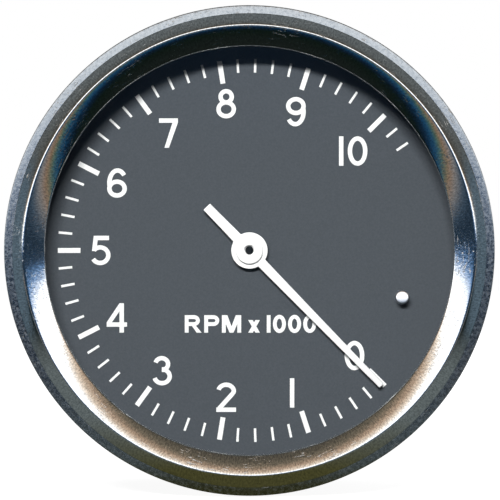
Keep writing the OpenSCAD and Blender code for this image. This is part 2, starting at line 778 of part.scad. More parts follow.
// Selector positions stand 45 degrees apart round its nut, read from the rear
selector_steps = [[0, 4], [45, 6], [90, 8]];
module cover_print() {
    color("white") front() translate([0, fitting_y, cover_z - print_t])
        linear_extrude(print_t) for (t = selector_steps)
            rotate(-45 + t[0]) translate([0, selector_bush_r + 6]) rotate(45 - t[0])
                mirror([1, 0]) scale(2.6) numeral(t[1]);
}

module selector_body() {
    color([0.1, 0.12, 0.3]) front() translate([0, fitting_y, 0]) difference() {
        union() {
            block([13, 13], cover_top, cover_top + 8);
            disc(selector_bush_r, cover_z - 4, cover_top + 1);
            for (a = [0:60:300]) rotate([0, 0, a]) translate([4, 0, 0])
                disc(0.5, cover_top + 8, cover_top + 11);
        }
        disc(selector_shaft_r + fit, cover_z - 5, cover_top + 6);
    }
}

module selector_nut() {
    color("silver") front() translate([0, fitting_y, 0]) difference() {
        hexagon(10, cover_z - 2, cover_z);
        disc(selector_bush_r + fit, cover_z - 3, cover_z + 1);
    }
}

module selector_spindle() {
    z_end = cover_z - 7;
    color("gainsboro") front() translate([0, fitting_y, 0]) rotate([0, 0, -45]) difference() {
        union() {
            disc(selector_shaft_r, z_end, cover_top + 5.8);
            disc(2.8, z_end, z_end + 2.6);
        }
        block([0.9, 8], z_end - 1, z_end + 1.4);
        // notch that shows the position
        translate([0, 2.8, 0]) block([0.8, 1.6], z_end - 1, z_end + 3);
    }
}

module cable_grommet() {
    r = grommet_neck_r;
    color([0.06, 0.06, 0.06]) front() translate([0, -fitting_y, 0]) difference() {
        union() {
            disc(r + 1.6, cover_top, cover_top + 2);
            disc(r, cover_z, cover_top);
            disc(r + 1.6, cover_z - 2, cover_z);
            disc(r + 0.4, cover_z - 5, cover_z - 2);
        }
        disc(grommet_bore_r, cover_z - 6, cover_top + 3);
    }
}

module mounting_studs() {
    color("silver") front() for (sx = [-1, 1]) translate([sx * stud_x, 0, 0]) {
        disc(stud_r, stud_end, cover_top);
        hexagon(stud_d * 1.75, cover_top, cover_top + 2.8);
    }
}

module stud_nuts() {
    color("silver") front() for (sx = [-1, 1]) translate([sx * stud_x, 0, 0]) difference() {
        hexagon(stud_d * 1.75, cover_z - stud_nut_t, cover_z);
        disc(stud_r + fit, cover_z - stud_nut_t - 1, cover_z + 1);
    }
}

module clamp_strap() {
    ro = strap_bend_r;
    ri = strap_bend_r - strap_t;
    out = leg_in + strap_t;
    color("lightgray") front() difference() {
        union() {
            for (sx = [-1, 1]) {
                translate([sx * (leg_in + strap_t / 2), 0, 0])
                    block([strap_t, strap_w], bridge_z + ro, -grip_max);
                translate([sx * (out - ro), strap_w / 2, bridge_z + ro]) rotate([90, 0, 0])
                    linear_extrude(strap_w) intersection() {
                        difference() { circle(r = ro); circle(r = ri); }
                        translate([sx > 0 ? 0 : -ro, -ro]) square(ro);
                    }
            }
            block([2 * (out - ro), strap_w], bridge_z, bridge_top);
        }
        for (sx = [-1, 1]) translate([sx * stud_x, 0, 0])
            disc(stud_r + 0.3, bridge_z - 1, bridge_top + 1);
    }
}

module spring_washers() {
    color("gray") front() for (sx = [-1, 1]) translate([sx * stud_x, 0, 0]) difference() {
        ring(stud_r * 1.9, stud_r + 0.15, nut_top, bridge_z);
        translate([stud_r * 1.5, 0, 0]) block([stud_r * 1.6, 0.5], nut_top - 1, bridge_z + 1);
    }
}

// Thumb nut with a straight knurl of rounded ridges and a plain collar
module thumb_nut() {
    n = 40;
    r = thumb_nut_d / 2;
    front() difference() {
        union() {
            translate([0, 0, nut_z]) linear_extrude(thumb_nut_t - 1.6) polygon([
                for (i = [0:n - 1], p = [[0, r - 0.3], [0.3, r], [0.7, r]])
                    let (a = (i + p[0]) * 360 / n) p[1] * [cos(a), sin(a)]]);
            disc(r * 0.7, nut_top - 1.6, nut_top);
        }
        disc(stud_r + fit, nut_z - 1, nut_top + 1);
    }
}
module thumb_nut_left() { color("goldenrod") translate([-stud_x, 0, 0]) thumb_nut(); }
module thumb_nut_right() { color("goldenrod") translate([stud_x, 0, 0]) thumb_nut(); }

bezel();
glazing_seal();
lens();
spacer_ring();
dial_lamps();
dial_plate();
dial_print();
stop_pin();
pointer();
pointer_boss();
pointer_spindle();
output_wheel();
intermediate_wheel();
intermediate_pinion();
rotor_magnet();
rotor_pinion();
stator();
coil_left();
coil_right();
motor_plate();
motor_case();
motor_screws();
motor_pins();
chassis_tray();
circuit_board();
microcontroller();
voltage_regulator();
smoothing_capacitors();
quartz_crystal();
terminal_header();
board_pillars();
board_screws();
case_shell();
rear_gasket();
rear_cover();
cover_screws();
cover_print();
selector_body();
selector_nut();
selector_spindle();
cable_grommet();
mounting_studs();
stud_nuts();
clamp_strap();
spring_washers();
thumb_nut_left();
thumb_nut_right();
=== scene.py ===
from math import asin, atan2, cos, degrees, pi, radians, sin
import bmesh
import bpy
from mathutils import Matrix, Vector


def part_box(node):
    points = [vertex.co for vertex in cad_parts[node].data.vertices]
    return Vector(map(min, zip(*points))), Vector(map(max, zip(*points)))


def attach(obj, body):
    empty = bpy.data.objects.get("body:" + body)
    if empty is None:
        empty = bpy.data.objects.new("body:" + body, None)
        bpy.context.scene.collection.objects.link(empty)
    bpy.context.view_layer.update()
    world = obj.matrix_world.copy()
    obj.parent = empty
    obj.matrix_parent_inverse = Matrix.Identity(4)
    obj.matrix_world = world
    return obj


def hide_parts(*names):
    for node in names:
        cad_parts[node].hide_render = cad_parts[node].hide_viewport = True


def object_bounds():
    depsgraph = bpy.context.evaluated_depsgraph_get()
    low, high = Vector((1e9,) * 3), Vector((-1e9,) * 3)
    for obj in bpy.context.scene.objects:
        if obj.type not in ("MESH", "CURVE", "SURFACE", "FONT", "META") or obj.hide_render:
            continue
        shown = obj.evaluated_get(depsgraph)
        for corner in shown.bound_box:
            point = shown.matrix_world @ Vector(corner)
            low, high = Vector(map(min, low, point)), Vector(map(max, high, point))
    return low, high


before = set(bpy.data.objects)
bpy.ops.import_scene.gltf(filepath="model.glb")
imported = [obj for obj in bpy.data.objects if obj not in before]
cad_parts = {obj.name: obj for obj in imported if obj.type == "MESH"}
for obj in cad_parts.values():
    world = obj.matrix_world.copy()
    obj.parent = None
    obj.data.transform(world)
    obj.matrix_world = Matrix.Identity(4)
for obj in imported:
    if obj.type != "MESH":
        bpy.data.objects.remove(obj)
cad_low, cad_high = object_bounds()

# ---- Camera ----
# The camera looks square on to the dial along the instrument's axis, from far enough away that
# the dial is only slightly smaller than the bezel in front of it.
scene = bpy.context.scene
scene.view_settings.view_transform = "Standard"
bezel_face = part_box("bezel")[0].y
rim_plane = bezel_face + 0.003
distance = 0.585
bezel_d, bezel_px, photo_px = 0.086, 490, 500
frame_width = bezel_d * photo_px / bezel_px
camera = bpy.data.objects.new("camera", bpy.data.cameras.new("camera"))
scene.collection.objects.link(camera)
camera.data.sensor_width = 36
camera.data.lens = 36 * distance / frame_width
camera.data.shift_x = 0.0012
camera.data.shift_y = 0.0009
camera.data.clip_start = 0.01
camera.location = (0, rim_plane - distance, 0)
camera.rotation_euler = (radians(90), 0, 0)
scene.camera = camera

# ---- Gear train of the movement ----
# Two stages of small wheels and pinions turn the pointer's spindle at a thirty-sixth of the
# motor's speed. The wheels are hobbed brass, the pinions and arbors turned and polished steel.
def srgb(code):
    """The linear colour, with alpha, of an sRGB hex code."""
    parts = [int(code[i:i + 2], 16) / 255 for i in (1, 3, 5)]
    linear = [c / 12.92 if c <= 0.04045 else ((c + 0.055) / 1.055) ** 2.4 for c in parts]
    return (*linear, 1.0)


def feed(tree, node, values):
    """Sets or links a node's inputs by name or number. A node given as a value is linked by its
    first output in use."""
    for name, value in values.items():
        if isinstance(value, bpy.types.Node):
            value = next(output for output in value.outputs if output.enabled)
        if isinstance(value, bpy.types.NodeSocket):
            tree.links.new(value, node.inputs[name])
        else:
            node.inputs[name].default_value = value


def add(tree, kind, values=None, **settings):
    """Adds a node with its settings and what feeds its inputs."""
    made = tree.nodes.new(kind)
    for name, value in settings.items():
        if name == "stops":
            ramp = made.color_ramp.elements
            for _ in value[2:]:
                ramp.new(0.5)
            for element, (place, colour) in zip(ramp, value):
                element.position, element.color = place, colour
        else:
            setattr(made, name, value)
    feed(tree, made, values or {})
    return made


def start_finish(name, colour, roughness, metallic=0.0):
    """A new material with its plain values set. Gives back the material, its tree, its shader and
    the piece's own coordinates."""
    material = bpy.data.materials.new(name)
    material.use_nodes = True
    tree = material.node_tree
    shader = tree.nodes["Principled BSDF"]
    feed(tree, shader, {"Base Color": srgb(colour), "Roughness": roughness, "Metallic": metallic})
    place = add(tree, "ShaderNodeTexCoord").outputs["Object"]
    return material, tree, shader, place


def speckled(name, colour, roughness, metallic, size, detail, colours=None, spread=None, height=0.0,
             plain=None):
    """A finish that one noise, of a size in metres, varies between two colours and two
    roughnesses and lifts by a height. The other values of its shader are set by name."""
    material, tree, shader, place = start_finish(name, colour, roughness, metallic)
    values = dict(plain or {})
    noise = add(tree, "ShaderNodeTexNoise", {"Vector": place, "Scale": 1 / size, "Detail": detail})
    if colours:
        values["Base Color"] = add(tree, "ShaderNodeMix", {
            0: noise, 6: srgb(colours[0]), 7: srgb(colours[1])}, data_type="RGBA")
    if spread:
        values["Roughness"] = add(tree, "ShaderNodeMapRange", {
            "Value": noise, "To Min": spread[0], "To Max": spread[1]})
    if height:
        values["Normal"] = add(tree, "ShaderNodeBump", {"Height": noise, "Distance": height})
    feed(tree, shader, values)
    return material


def dress(material, *nodes):
    """Gives CAD nodes that stay in view their finish."""
    for name in nodes:
        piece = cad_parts[name]
        if not piece.material_slots:
            piece.data.materials.append(material)
        for held in piece.material_slots:
            held.material = material


# Machined brass: a warm yellow metal with fine turning marks 0.15 mm apart
wheel_brass = speckled("machined_brass", "#b8925a", 0.32, 1.0, 0.00015, 2.0, ("#a27f49", "#c9a468"),
                       height=0.000004)
dress(wheel_brass, "output_wheel", "intermediate_wheel", "motor_pins")

# Polished turned steel: bright grey with faint marks from the lathe, 0.2 mm apart
turned_steel = speckled("turned_steel", "#b4b6b9", 0.24, 1.0, 0.0002, 3.0, spread=(0.18, 0.34))
dress(turned_steel, "intermediate_pinion", "rotor_pinion")

# Oil blackened steel: near black metal with a soft sheen, as on the spindle's end in its recess
blackened = speckled("oil_blackened_steel", "#3b3e40", 0.4, 1.0, 0.0003, 3.0, spread=(0.32, 0.5))
dress(blackened, "pointer_spindle")

# ---- Stepper motor ----
# A ferrite rotor runs between two coils on a stack of steel laminations, in a box and plate of
# moulded white acetal that four small screws hold under the chassis tray.
# Ground ferrite: dark grey ceramic with a slight grain 0.3 mm across
ferrite = speckled("ground_ferrite", "#333438", 0.5, 0.0, 0.0003, 4.0, ("#292a2d", "#3f4045"))
dress(ferrite, "rotor_magnet")

# Moulded acetal: ivory white, smooth with a soft sheen and faint flow marks 4 mm across
acetal = speckled("moulded_acetal", "#e4e3da", 0.42, 0.0, 0.004, 3.0, ("#dcdbd0", "#eae9e2"),
                  plain={"IOR": 1.48})
dress(acetal, "motor_plate", "motor_case")

# Zinc plated steel: pale bluish metal with the cloudy grain of a barrel plated part, 1.2 mm across
zinc_steel = speckled("zinc_plated_steel", "#a9acb0", 0.38, 1.0, 0.0012, 6.0,
                      ("#8d9196", "#c2c4c6"), (0.28, 0.5))
dress(zinc_steel, "motor_screws", "stator", "board_pillars", "board_screws", "chassis_tray",
      "quartz_crystal")


def start_tree(name, inputs):
    """A new Geometry Nodes tree that takes a seed and named inputs, each with its kind."""
    tree = bpy.data.node_groups.new(name, "GeometryNodeTree")
    for label, kind in {"Geometry": "Geometry", **inputs}.items():
        tree.interface.new_socket(label, in_out="INPUT", socket_type="NodeSocket" + kind)
    tree.interface.new_socket("Geometry", in_out="OUTPUT", socket_type="NodeSocketGeometry")
    return tree, add(tree, "NodeGroupInput").outputs


# Sizes are in millimetres in the drawing's frame, x to the right, y up, z towards the viewer. An
# edge is drawn sharp where its faces turn by more than the crease, in degrees.
into_row = Matrix.Rotation(radians(90), 4, "X") @ Matrix.Scale(0.001, 4)
weld, crease = 0.0005, 32


def settle(piece, smooth=crease):
    """Closes a piece's seams, turns its faces outwards, shades it, and turns it from the drawing's
    millimetres into the row's frame."""
    work = bmesh.new()
    work.from_mesh(piece.data)
    bmesh.ops.remove_doubles(work, verts=work.verts, dist=weld)
    bmesh.ops.recalc_face_normals(work, faces=work.faces)
    work.to_mesh(piece.data)
    work.free()
    piece.data.transform(into_row)
    piece.data.shade_smooth()
    piece.data.set_sharp_from_angle(angle=radians(smooth))
    return piece


def keep_shape(piece):
    """Replaces a piece's mesh by the plain mesh that its modifiers make of it."""
    bpy.context.view_layer.update()
    shown = piece.evaluated_get(bpy.context.evaluated_depsgraph_get())
    plain = bpy.data.meshes.new_from_object(shown)
    piece.modifiers.clear()
    piece.data = plain
    return plain


def grow(name, tree, points, edges, sizes, smooth=crease):
    """Runs a tree on a seed of points and edges, and keeps the result as a plain mesh."""
    seed = bpy.data.meshes.new(name)
    seed.from_pydata(points, edges, [])
    piece = bpy.data.objects.new(name, seed)
    scene.collection.objects.link(piece)
    run = piece.modifiers.new(tree.name, "NODES")
    run.node_group = tree
    for item in tree.interface.items_tree:
        if item.in_out == "INPUT" and item.name in sizes:
            run[item.identifier] = sizes[item.name]
    keep_shape(piece).name = name
    return settle(piece, smooth)


def seat(piece, body, slot, *nodes):
    """Makes a piece ride on its body and hides the CAD nodes it stands for. Its finish's slot is
    not used.
    """
    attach(piece, body)
    if nodes:
        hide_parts(*nodes)


def close_tree(tree, shape, finish):
    """Ends a tree: makes its instances real and sets their finish."""
    real = add(tree, "GeometryNodeRealizeInstances", {"Geometry": shape})
    coated = add(tree, "GeometryNodeSetMaterial", {"Geometry": real, "Material": finish})
    add(tree, "NodeGroupOutput", {"Geometry": coated})


# Turns an outline about an axis: the seed's x is the radius less path_r, y the height downwards
path_r = 10.0
turning, given = start_tree("turning", {"Sides": "Int", "Centre": "Vector", "Finish": "Material"})
path = add(turning, "GeometryNodeCurvePrimitiveCircle",
           {"Resolution": given["Sides"], "Radius": path_r})
upright = add(turning, "GeometryNodeSetCurveNormal", {"Curve": path}, mode="Z_UP")
outline = add(turning, "GeometryNodeMeshToCurve", {"Mesh": given["Geometry"]})
swept = add(turning, "GeometryNodeCurveToMesh", {"Curve": upright, "Profile Curve": outline})
closed = add(turning, "GeometryNodeMergeByDistance", {"Geometry": swept, "Distance": weld})
moved = add(turning, "GeometryNodeTransform", {"Geometry": closed, "Translation": given["Centre"]})
close_tree(turning, moved, given["Finish"])


def eased(corners, steps=5):
    """A closed outline from corners of radius, height and edge rounding. A point on either side of
    each rounding keeps the flat beyond it flat to the eye, where the flat is long enough."""
    stand_off, long_enough = 1.25, 2.6
    made = []
    count = len(corners)
    for i, (x, y, rounding) in enumerate(corners):
        here = Vector((x, y))
        if not rounding:
            made.append(here)
            continue
        before = Vector(corners[i - 1][:2]) - here
        after = Vector(corners[(i + 1) % count][:2]) - here
        a, b = before.normalized(), after.normalized()
        half = a.angle(b) / 2
        reach = min(rounding / max(1e-6, abs(sin(half) / cos(half))), before.length / 2.02,
                    after.length / 2.02)
        p, q = here + a * reach, here + b * reach
        if before.length > long_enough * reach:
            made.append(here + a * reach * stand_off)
        for k in range(steps + 1):
            t = k / steps
            made.append((1 - t) ** 2 * p + 2 * t * (1 - t) * here + t * t * q)
        if after.length > long_enough * reach:
            made.append(here + b * reach * stand_off)
    return made


def ring_edges(count):
    return [(i, (i + 1) % count) for i in range(count)]


def as_seed(line):
    """The points and edges of a half section, as the turning takes them."""
    return [(p.x - path_r, -p.y, 0) for p in line], ring_edges(len(line))


def turn(name, corners, finish, centre=(0, 0), sides=240, smooth=crease):
    """A turned or moulded round piece from the corners of its half section."""
    points, edges = as_seed(eased(corners))
    return grow(name, turning, points, edges,
                {"Sides": sides, "Centre": (centre[0], centre[1], 0.0), "Finish": finish}, smooth)


# Enamelled copper wire: clear lacquer over reddish copper, wound close
wire_copper = speckled("enamelled_copper_wire", "#a8532a", 0.3, 1.0, 0.0008, 2.0,
                       ("#8f4220", "#b96336"), plain={"Coat Weight": 0.6, "Coat Roughness": 0.1})

# A helix of constant section, as of a wound wire or a rolled thread; the seed is the section
helix, given = start_tree("helix", {"Turns": "Float", "Length": "Float", "Radius": "Float",
                                    "Tilt": "Vector", "Centre": "Vector", "Finish": "Material"})
spiral = add(helix, "GeometryNodeCurveSpiral",
             {"Resolution": 28, "Rotations": given["Turns"], "Start Radius": given["Radius"],
              "End Radius": given["Radius"], "Height": given["Length"]})
upright = add(helix, "GeometryNodeSetCurveNormal", {"Curve": spiral}, mode="Z_UP")
section = add(helix, "GeometryNodeMeshToCurve", {"Mesh": given["Geometry"]})
swept = add(helix, "GeometryNodeCurveToMesh",
            {"Curve": upright, "Profile Curve": section, "Fill Caps": True})
turned = add(helix, "GeometryNodeTransform", {"Geometry": swept, "Rotation": given["Tilt"]})
moved = add(helix, "GeometryNodeTransform", {"Geometry": turned, "Translation": given["Centre"]})
close_tree(helix, moved, given["Finish"])

wire_d, end_space, side_space = 0.26, 0.3, 0.03
wire = [(wire_d / 2 * cos(radians(60 * i)), wire_d / 2 * sin(radians(60 * i)), 0) for i in range(6)]
for node in ("coil_left", "coil_right"):
    low, high = (v * 1000 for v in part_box(node))
    length = high.z - low.z - 2 * end_space
    middle = ((low.x + high.x) / 2, (low.z + high.z) / 2 - length / 2, -(low.y + high.y) / 2)
    coil = grow("wound_" + node, helix, wire, ring_edges(6),
                {"Turns": length / wire_d, "Length": length,
                 "Radius": (high.x - low.x) / 2 - wire_d / 2 - side_space,
                 "Tilt": (radians(-90), 0.0, 0.0), "Centre": middle, "Finish": wire_copper})
    seat(coil, "instrument", "coil_copper", node)

# ---- Circuit board ----
# A round board of green resist on glass fibre stands on four pillars behind the motor, with the
# controller, regulator, two capacitors, a clock crystal and the terminal block on its rear face.
# Solder resist: glossy dark green over a faint glass weave, drawn 1 mm across so that it shows
resist, tree, shader, place = start_finish("solder_resist", "#0f4a28", 0.28)
weave = add(tree, "ShaderNodeTexWave", {"Vector": place, "Scale": 1 / 0.003, "Distortion": 1.0},
            bands_direction="X")
tint = add(tree, "ShaderNodeMix", {0: weave.outputs["Fac"], 6: srgb("#0d4224"), 7: srgb("#13552f")},
           data_type="RGBA")
feed(tree, shader, {"Base Color": tint})
dress(resist, "circuit_board")

# Epoxy moulding compound: matt black with fine grit 0.1 mm across
epoxy = speckled("epoxy_moulding", "#1b1b1d", 0.62, 0.0, 0.0001, 2.0, height=0.00001)
dress(epoxy, "microcontroller", "voltage_regulator")

# Shrunk vinyl sleeve: glossy dark blue
vinyl = speckled("shrunk_vinyl", "#141d3f", 0.22, 0.0, 0.003, 2.0, ("#10183a", "#1b2650"))
dress(vinyl, "smoothing_capacitors")

# Moulded polyamide: green, slightly matt, with a moulding texture 0.2 mm across
polyamide = speckled("moulded_polyamide", "#2a6b45", 0.5, 0.0, 0.0002, 3.0, height=0.00001)
dress(polyamide, "terminal_header")

# ---- Dial plate ----
# The dial is a disc of aluminium sprayed satin dark grey, with a clearance hole for the pointer's
# spindle and one for the stop pin. It is held between the chassis tray and the spacer ring.
def skin(work, rows, closed=False):
    """Joins like outlines that follow each other into a solid, either closed on itself or capped at
    both ends. Gives back the far cap."""
    for a, b in zip(rows, rows[1:] + rows[:1] if closed else rows[1:]):
        for j in range(len(a)):
            k = (j + 1) % len(a)
            work.faces.new((a[j], a[k], b[k], b[j]))
    if not closed:
        work.faces.new(rows[0][::-1])
        return work.faces.new(rows[-1])


def make_piece(name, work, finish=None):
    """Makes a piece of solids that were worked on, with their faces turned outwards."""
    bmesh.ops.recalc_face_normals(work, faces=work.faces)
    mesh = bpy.data.meshes.new(name)
    work.to_mesh(mesh)
    work.free()
    if finish:
        mesh.materials.append(finish)
    piece = bpy.data.objects.new(name, mesh)
    scene.collection.objects.link(piece)
    return piece


def drill(piece, holes):
    """Cuts straight holes and slots through a piece: each is an outline's points and two heights.
    Cuts that overlap each other are drilled in separate calls."""
    work = bmesh.new()
    for points, *heights in holes:
        skin(work, [[work.verts.new(into_row @ Vector((x, y, z))) for x, y in points]
                    for z in heights])
    cutter = make_piece("cutter", work)
    cut = piece.modifiers.new("cut", "BOOLEAN")
    cut.operation, cut.object, cut.solver = "DIFFERENCE", cutter, "EXACT"
    plain = keep_shape(piece)
    bpy.data.objects.remove(cutter)
    finish = plain.materials[0]
    plain.materials.clear()
    plain.materials.append(finish)
    for face in plain.polygons:
        face.material_index = 0
    plain.shade_smooth()
    plain.set_sharp_from_angle(angle=radians(crease))


def circle(x, y, r, count=64):
    turns = [2 * pi * i / count for i in range(count)]
    return [(x + r * cos(t), y + r * sin(t)) for t in turns]


# Satin paint: an even blue grey with a fine spray texture, drawn 0.35 mm across so that it shows
dial_paint = speckled("satin_dial_paint", "#4b5054", 0.55, 0.0, 0.00035, 2.0,
                      ("#454a4f", "#53585d"), height=0.000006, plain={"Specular IOR Level": 0.12})

dial_top = -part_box("dial_plate")[0].y * 1000
dial_under = -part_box("dial_plate")[1].y * 1000
dial_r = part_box("dial_plate")[1].x * 1000
stop_angle, stop_r = radians(-17), 28.2
stop_at = (stop_r * cos(stop_angle), stop_r * sin(stop_angle))
spindle_hole_r, pin_hole_r = 1.35, 1.335
dial = turn("dial_plate_painted", [(0, dial_under, 0), (dial_r, dial_under, 0.05),
                                   (dial_r, dial_top, 0.1), (0, dial_top, 0)], dial_paint)
drill(dial, [(circle(0, 0, spindle_hole_r), dial_under - 1, dial_top + 1),
             (circle(*stop_at, pin_hole_r), dial_under - 1, dial_top + 1)])
seat(dial, "instrument", "dial_paint", "dial_plate")

# ---- Printing on the dial ----
# The scale is screen printed in matt white ink: fifty-three ticks round 280.8 degrees, upright
# numerals 0 to 10 and the legend of the units. The ink stands a few hundredths of a millimetre up.
# Screen ink: opaque white, matt, with slightly uneven cover 0.4 mm across
screen_ink = speckled("screen_ink", "#f8faf8", 0.7, 0.0, 0.0004, 2.0, ("#f3f5f3", "#fdfefd"))


def set_round(tree, count, radius, angle, height):
    """Points round the axis, at a radius, an angle and a height that may differ from one to the
    next."""
    across = add(tree, "ShaderNodeMath", {0: angle}, operation="COSINE")
    upward = add(tree, "ShaderNodeMath", {0: angle}, operation="SINE")
    x = add(tree, "ShaderNodeMath", {0: radius, 1: across}, operation="MULTIPLY")
    y = add(tree, "ShaderNodeMath", {0: radius, 1: upward}, operation="MULTIPLY")
    spot = add(tree, "ShaderNodeCombineXYZ", {"X": x, "Y": y, "Z": height})
    return add(tree, "GeometryNodePoints", {"Count": count, "Position": spot})


ink, tick_r = 0.05, 33.9
zero_angle, step_angle = -45.0, 27.0
ticks, given = start_tree("ticks", {
    "Count": "Int", "Outer radius": "Float", "First angle": "Float", "Step": "Float",
    "Long": "Float", "Long width": "Float", "Short": "Float", "Short width": "Float",
    "Ink": "Float", "Height": "Float", "Finish": "Material"})
index = add(ticks, "GeometryNodeInputIndex")
fifth = add(ticks, "ShaderNodeMath", {0: index, 1: 5.0}, operation="MODULO")
short = add(ticks, "ShaderNodeMath", {0: fifth, 1: 0.5}, operation="GREATER_THAN")
long_to_short = add(ticks, "ShaderNodeMapRange",
                    {"Value": short, "To Min": given["Long"], "To Max": given["Short"]})
wide_to_thin = add(ticks, "ShaderNodeMapRange",
                   {"Value": short, "To Min": given["Long width"], "To Max": given["Short width"]})
turned_by = add(ticks, "ShaderNodeMath", {0: index, 1: given["Step"]}, operation="MULTIPLY")
angle = add(ticks, "ShaderNodeMath", {0: given["First angle"], 1: turned_by}, operation="SUBTRACT")
half = add(ticks, "ShaderNodeMath", {0: long_to_short, 1: -0.5}, operation="MULTIPLY")
reach = add(ticks, "ShaderNodeMath", {0: given["Outer radius"], 1: half}, operation="ADD")
points = set_round(ticks, given["Count"], reach, angle, given["Height"])
bar = add(ticks, "GeometryNodeMeshCube", {"Size": (1.0, 1.0, 1.0)})
heading = add(ticks, "ShaderNodeCombineXYZ", {"Z": angle})
size = add(ticks, "ShaderNodeCombineXYZ",
           {"X": long_to_short, "Y": wide_to_thin, "Z": given["Ink"]})
placed = add(ticks, "GeometryNodeInstanceOnPoints",
             {"Points": points, "Instance": bar, "Rotation": heading, "Scale": size})
close_tree(ticks, placed, given["Finish"])
scale_print = grow("printed_scale", ticks, [(0, 0, 0)], [], {
    "Count": 53, "Outer radius": tick_r, "First angle": radians(zero_angle),
    "Step": radians(step_angle / 5), "Long": 4.0, "Long width": 0.87, "Short": 2.4,
    "Short width": 0.42, "Ink": ink, "Height": dial_top + ink / 2, "Finish": screen_ink})
seat(scale_print, "instrument", "white_print", "dial_print")


def arc(cx, cy, rx, ry, start, end, steps):
    """Points along an arc of a circle or an ellipse, between two angles in degrees."""
    return [(cx + rx * cos(radians(start + (end - start) * i / steps)),
             cy + ry * sin(radians(start + (end - start) * i / steps))) for i in range(steps + 1)]


def slab(x0, y0, x1, y1):
    return ("area", [(x0, y0), (x1, y0), (x1, y1), (x0, y1)])


def figure(n, width):
    """The parts of a numeral one unit high and centred: bands along a line, loops and areas."""
    w, top, half = width, 0.5 - width / 2, 0.335 - width / 2
    six = [("loop", arc(0, -0.19, half, top - 0.19, 0, 350, 35)),
           ("band", arc(0.02, 0, 0.355 - w / 2, top, 38, 200, 26))]
    return {
        "0": [("loop", arc(0, 0, half, top, 0, 354, 59))],
        "1": [slab(-w / 2, -0.5, w / 2, 0.5)],
        "2": [("band", arc(0, 0.21, half, top - 0.21, 168, -8, 24)
               + [(half - 0.06, 0.1), (-half + 0.02, -top + 0.04)]),
              slab(-0.335, -0.5, 0.335, w - 0.5)],
        "3": [("band", arc(-0.01, 0.225, half - 0.045, top - 0.225, 165, -88, 28)),
              ("band", arc(0, -0.19, half, top - 0.19, 92, -165, 30))],
        "4": [slab(0.16 - w / 2, -0.5, 0.16 + w / 2, 0.5), slab(-0.35, -0.3, 0.34, w - 0.3),
              ("area", [(-0.35, w - 0.3), (-0.35, w * 0.9 - 0.3), (-0.35 + w * 1.1, w * 0.9 - 0.3),
                        (0.16, 0.34), (0.16, 0.5), (0.16 - w / 2, 0.5)])],
        "5": [slab(-0.22, 0.5 - w, 0.28, 0.5),
              ("area", [(-0.24, 0.5), (-0.3, -0.02), (w - 0.3, -0.02), (w - 0.24, 0.5)]),
              ("band", arc(-0.02, -0.16, half + 0.015, top - 0.16, 142, -150, 30))],
        "6": six,
        "7": [slab(-0.32, 0.5 - w, 0.32, 0.5),
              ("area", [(0.32 - w * 1.1, 0.5 - w * 0.6), (-0.06 - w / 2, -0.5),
                        (-0.06 + w / 2, -0.5), (0.32, 0.5 - w)])],
        "8": [("loop", arc(0, 0.235, 0.19, top - 0.235, 0, 350, 35)),
              ("loop", arc(0, -0.19, half, top - 0.19, 0, 350, 35))],
        "9": [(kind, [(-x, -y) for x, y in line]) for kind, line in six],
    }[n]


def letter(name, k):
    """The parts of a legend letter one unit high, with strokes k wide, standing on its lower left
    corner."""
    upright_bar = slab(0, 0, k, 1)
    p = [upright_bar, ("band", [(0, 1 - k / 2)] + arc(0.52, 0.69, 0.23, 0.31 - k / 2, 90, -90, 16)
                       + [(0, 0.38 + k / 2)])]
    return {
        "P": p,
        "R": p + [("area", [(0.36, 0.45), (0.68, 0), (0.96, 0), (0.6, 0.45)])],
        "M": [upright_bar, slab(1.1 - k, 0, 1.1, 1),
              ("area", [(0, 1), (0.44, 0), (0.55, 0), (0.55, 0.36), (k * 1.4, 1)]),
              ("area", [(0.55, 0), (0.66, 0), (1.1, 1), (1.1 - k * 1.4, 1), (0.55, 0.36)])],
        "x": [("area", [(0, 0), (0.26, 0), (0.67, 0.72), (0.41, 0.72)]),
              ("area", [(0.41, 0), (0.67, 0), (0.26, 0.72), (0, 0.72)])],
        "1": [upright_bar],
        "0": [("loop", arc(0.3725, 0.5, 0.3725 - k / 2, 0.5 - k * 0.42, 0, 354, 59))],
    }[name]


def print_figures(name, marks, finish, height, thick):
    """One printed piece of several figures: each is its parts, place, size, width of stroke in its
    own units, and side (1, or -1 to be read from behind). Parts that lie over each other end a
    hair apart, so that none shimmers."""
    hair = 0.0006
    work = bmesh.new()
    layer = 0
    for parts, (px, py), scale, width, side in marks:
        for kind, line in parts:
            layer += 1
            z0, z1 = height, height + thick - hair * (layer % 5)

            def at(p, z):
                return work.verts.new((px + side * scale * p.x, py + scale * p.y, z))
            spine = [Vector(p) for p in line]
            if kind == "area":
                skin(work, [[at(p, z) for p in spine] for z in (z0, z1)])
                continue
            rows = []
            for i, p in enumerate(spine):
                before = spine[i - 1] if i or kind == "loop" else p
                after = spine[(i + 1) % len(spine)] if i + 1 < len(spine) or kind == "loop" else p
                way = (after - before).normalized()
                aside = Vector((-way.y, way.x)) * width / 2
                rows.append([at(p + aside, z0), at(p + aside, z1), at(p - aside, z1),
                             at(p - aside, z0)])
            skin(work, rows, closed=kind == "loop")
    piece = make_piece(name, work, finish)
    piece.data.transform(into_row)
    piece.data.shade_flat()
    return piece


numeral_r, numeral_h, stroke, digits_apart = 26.3, 5.2, 0.78, 2.9
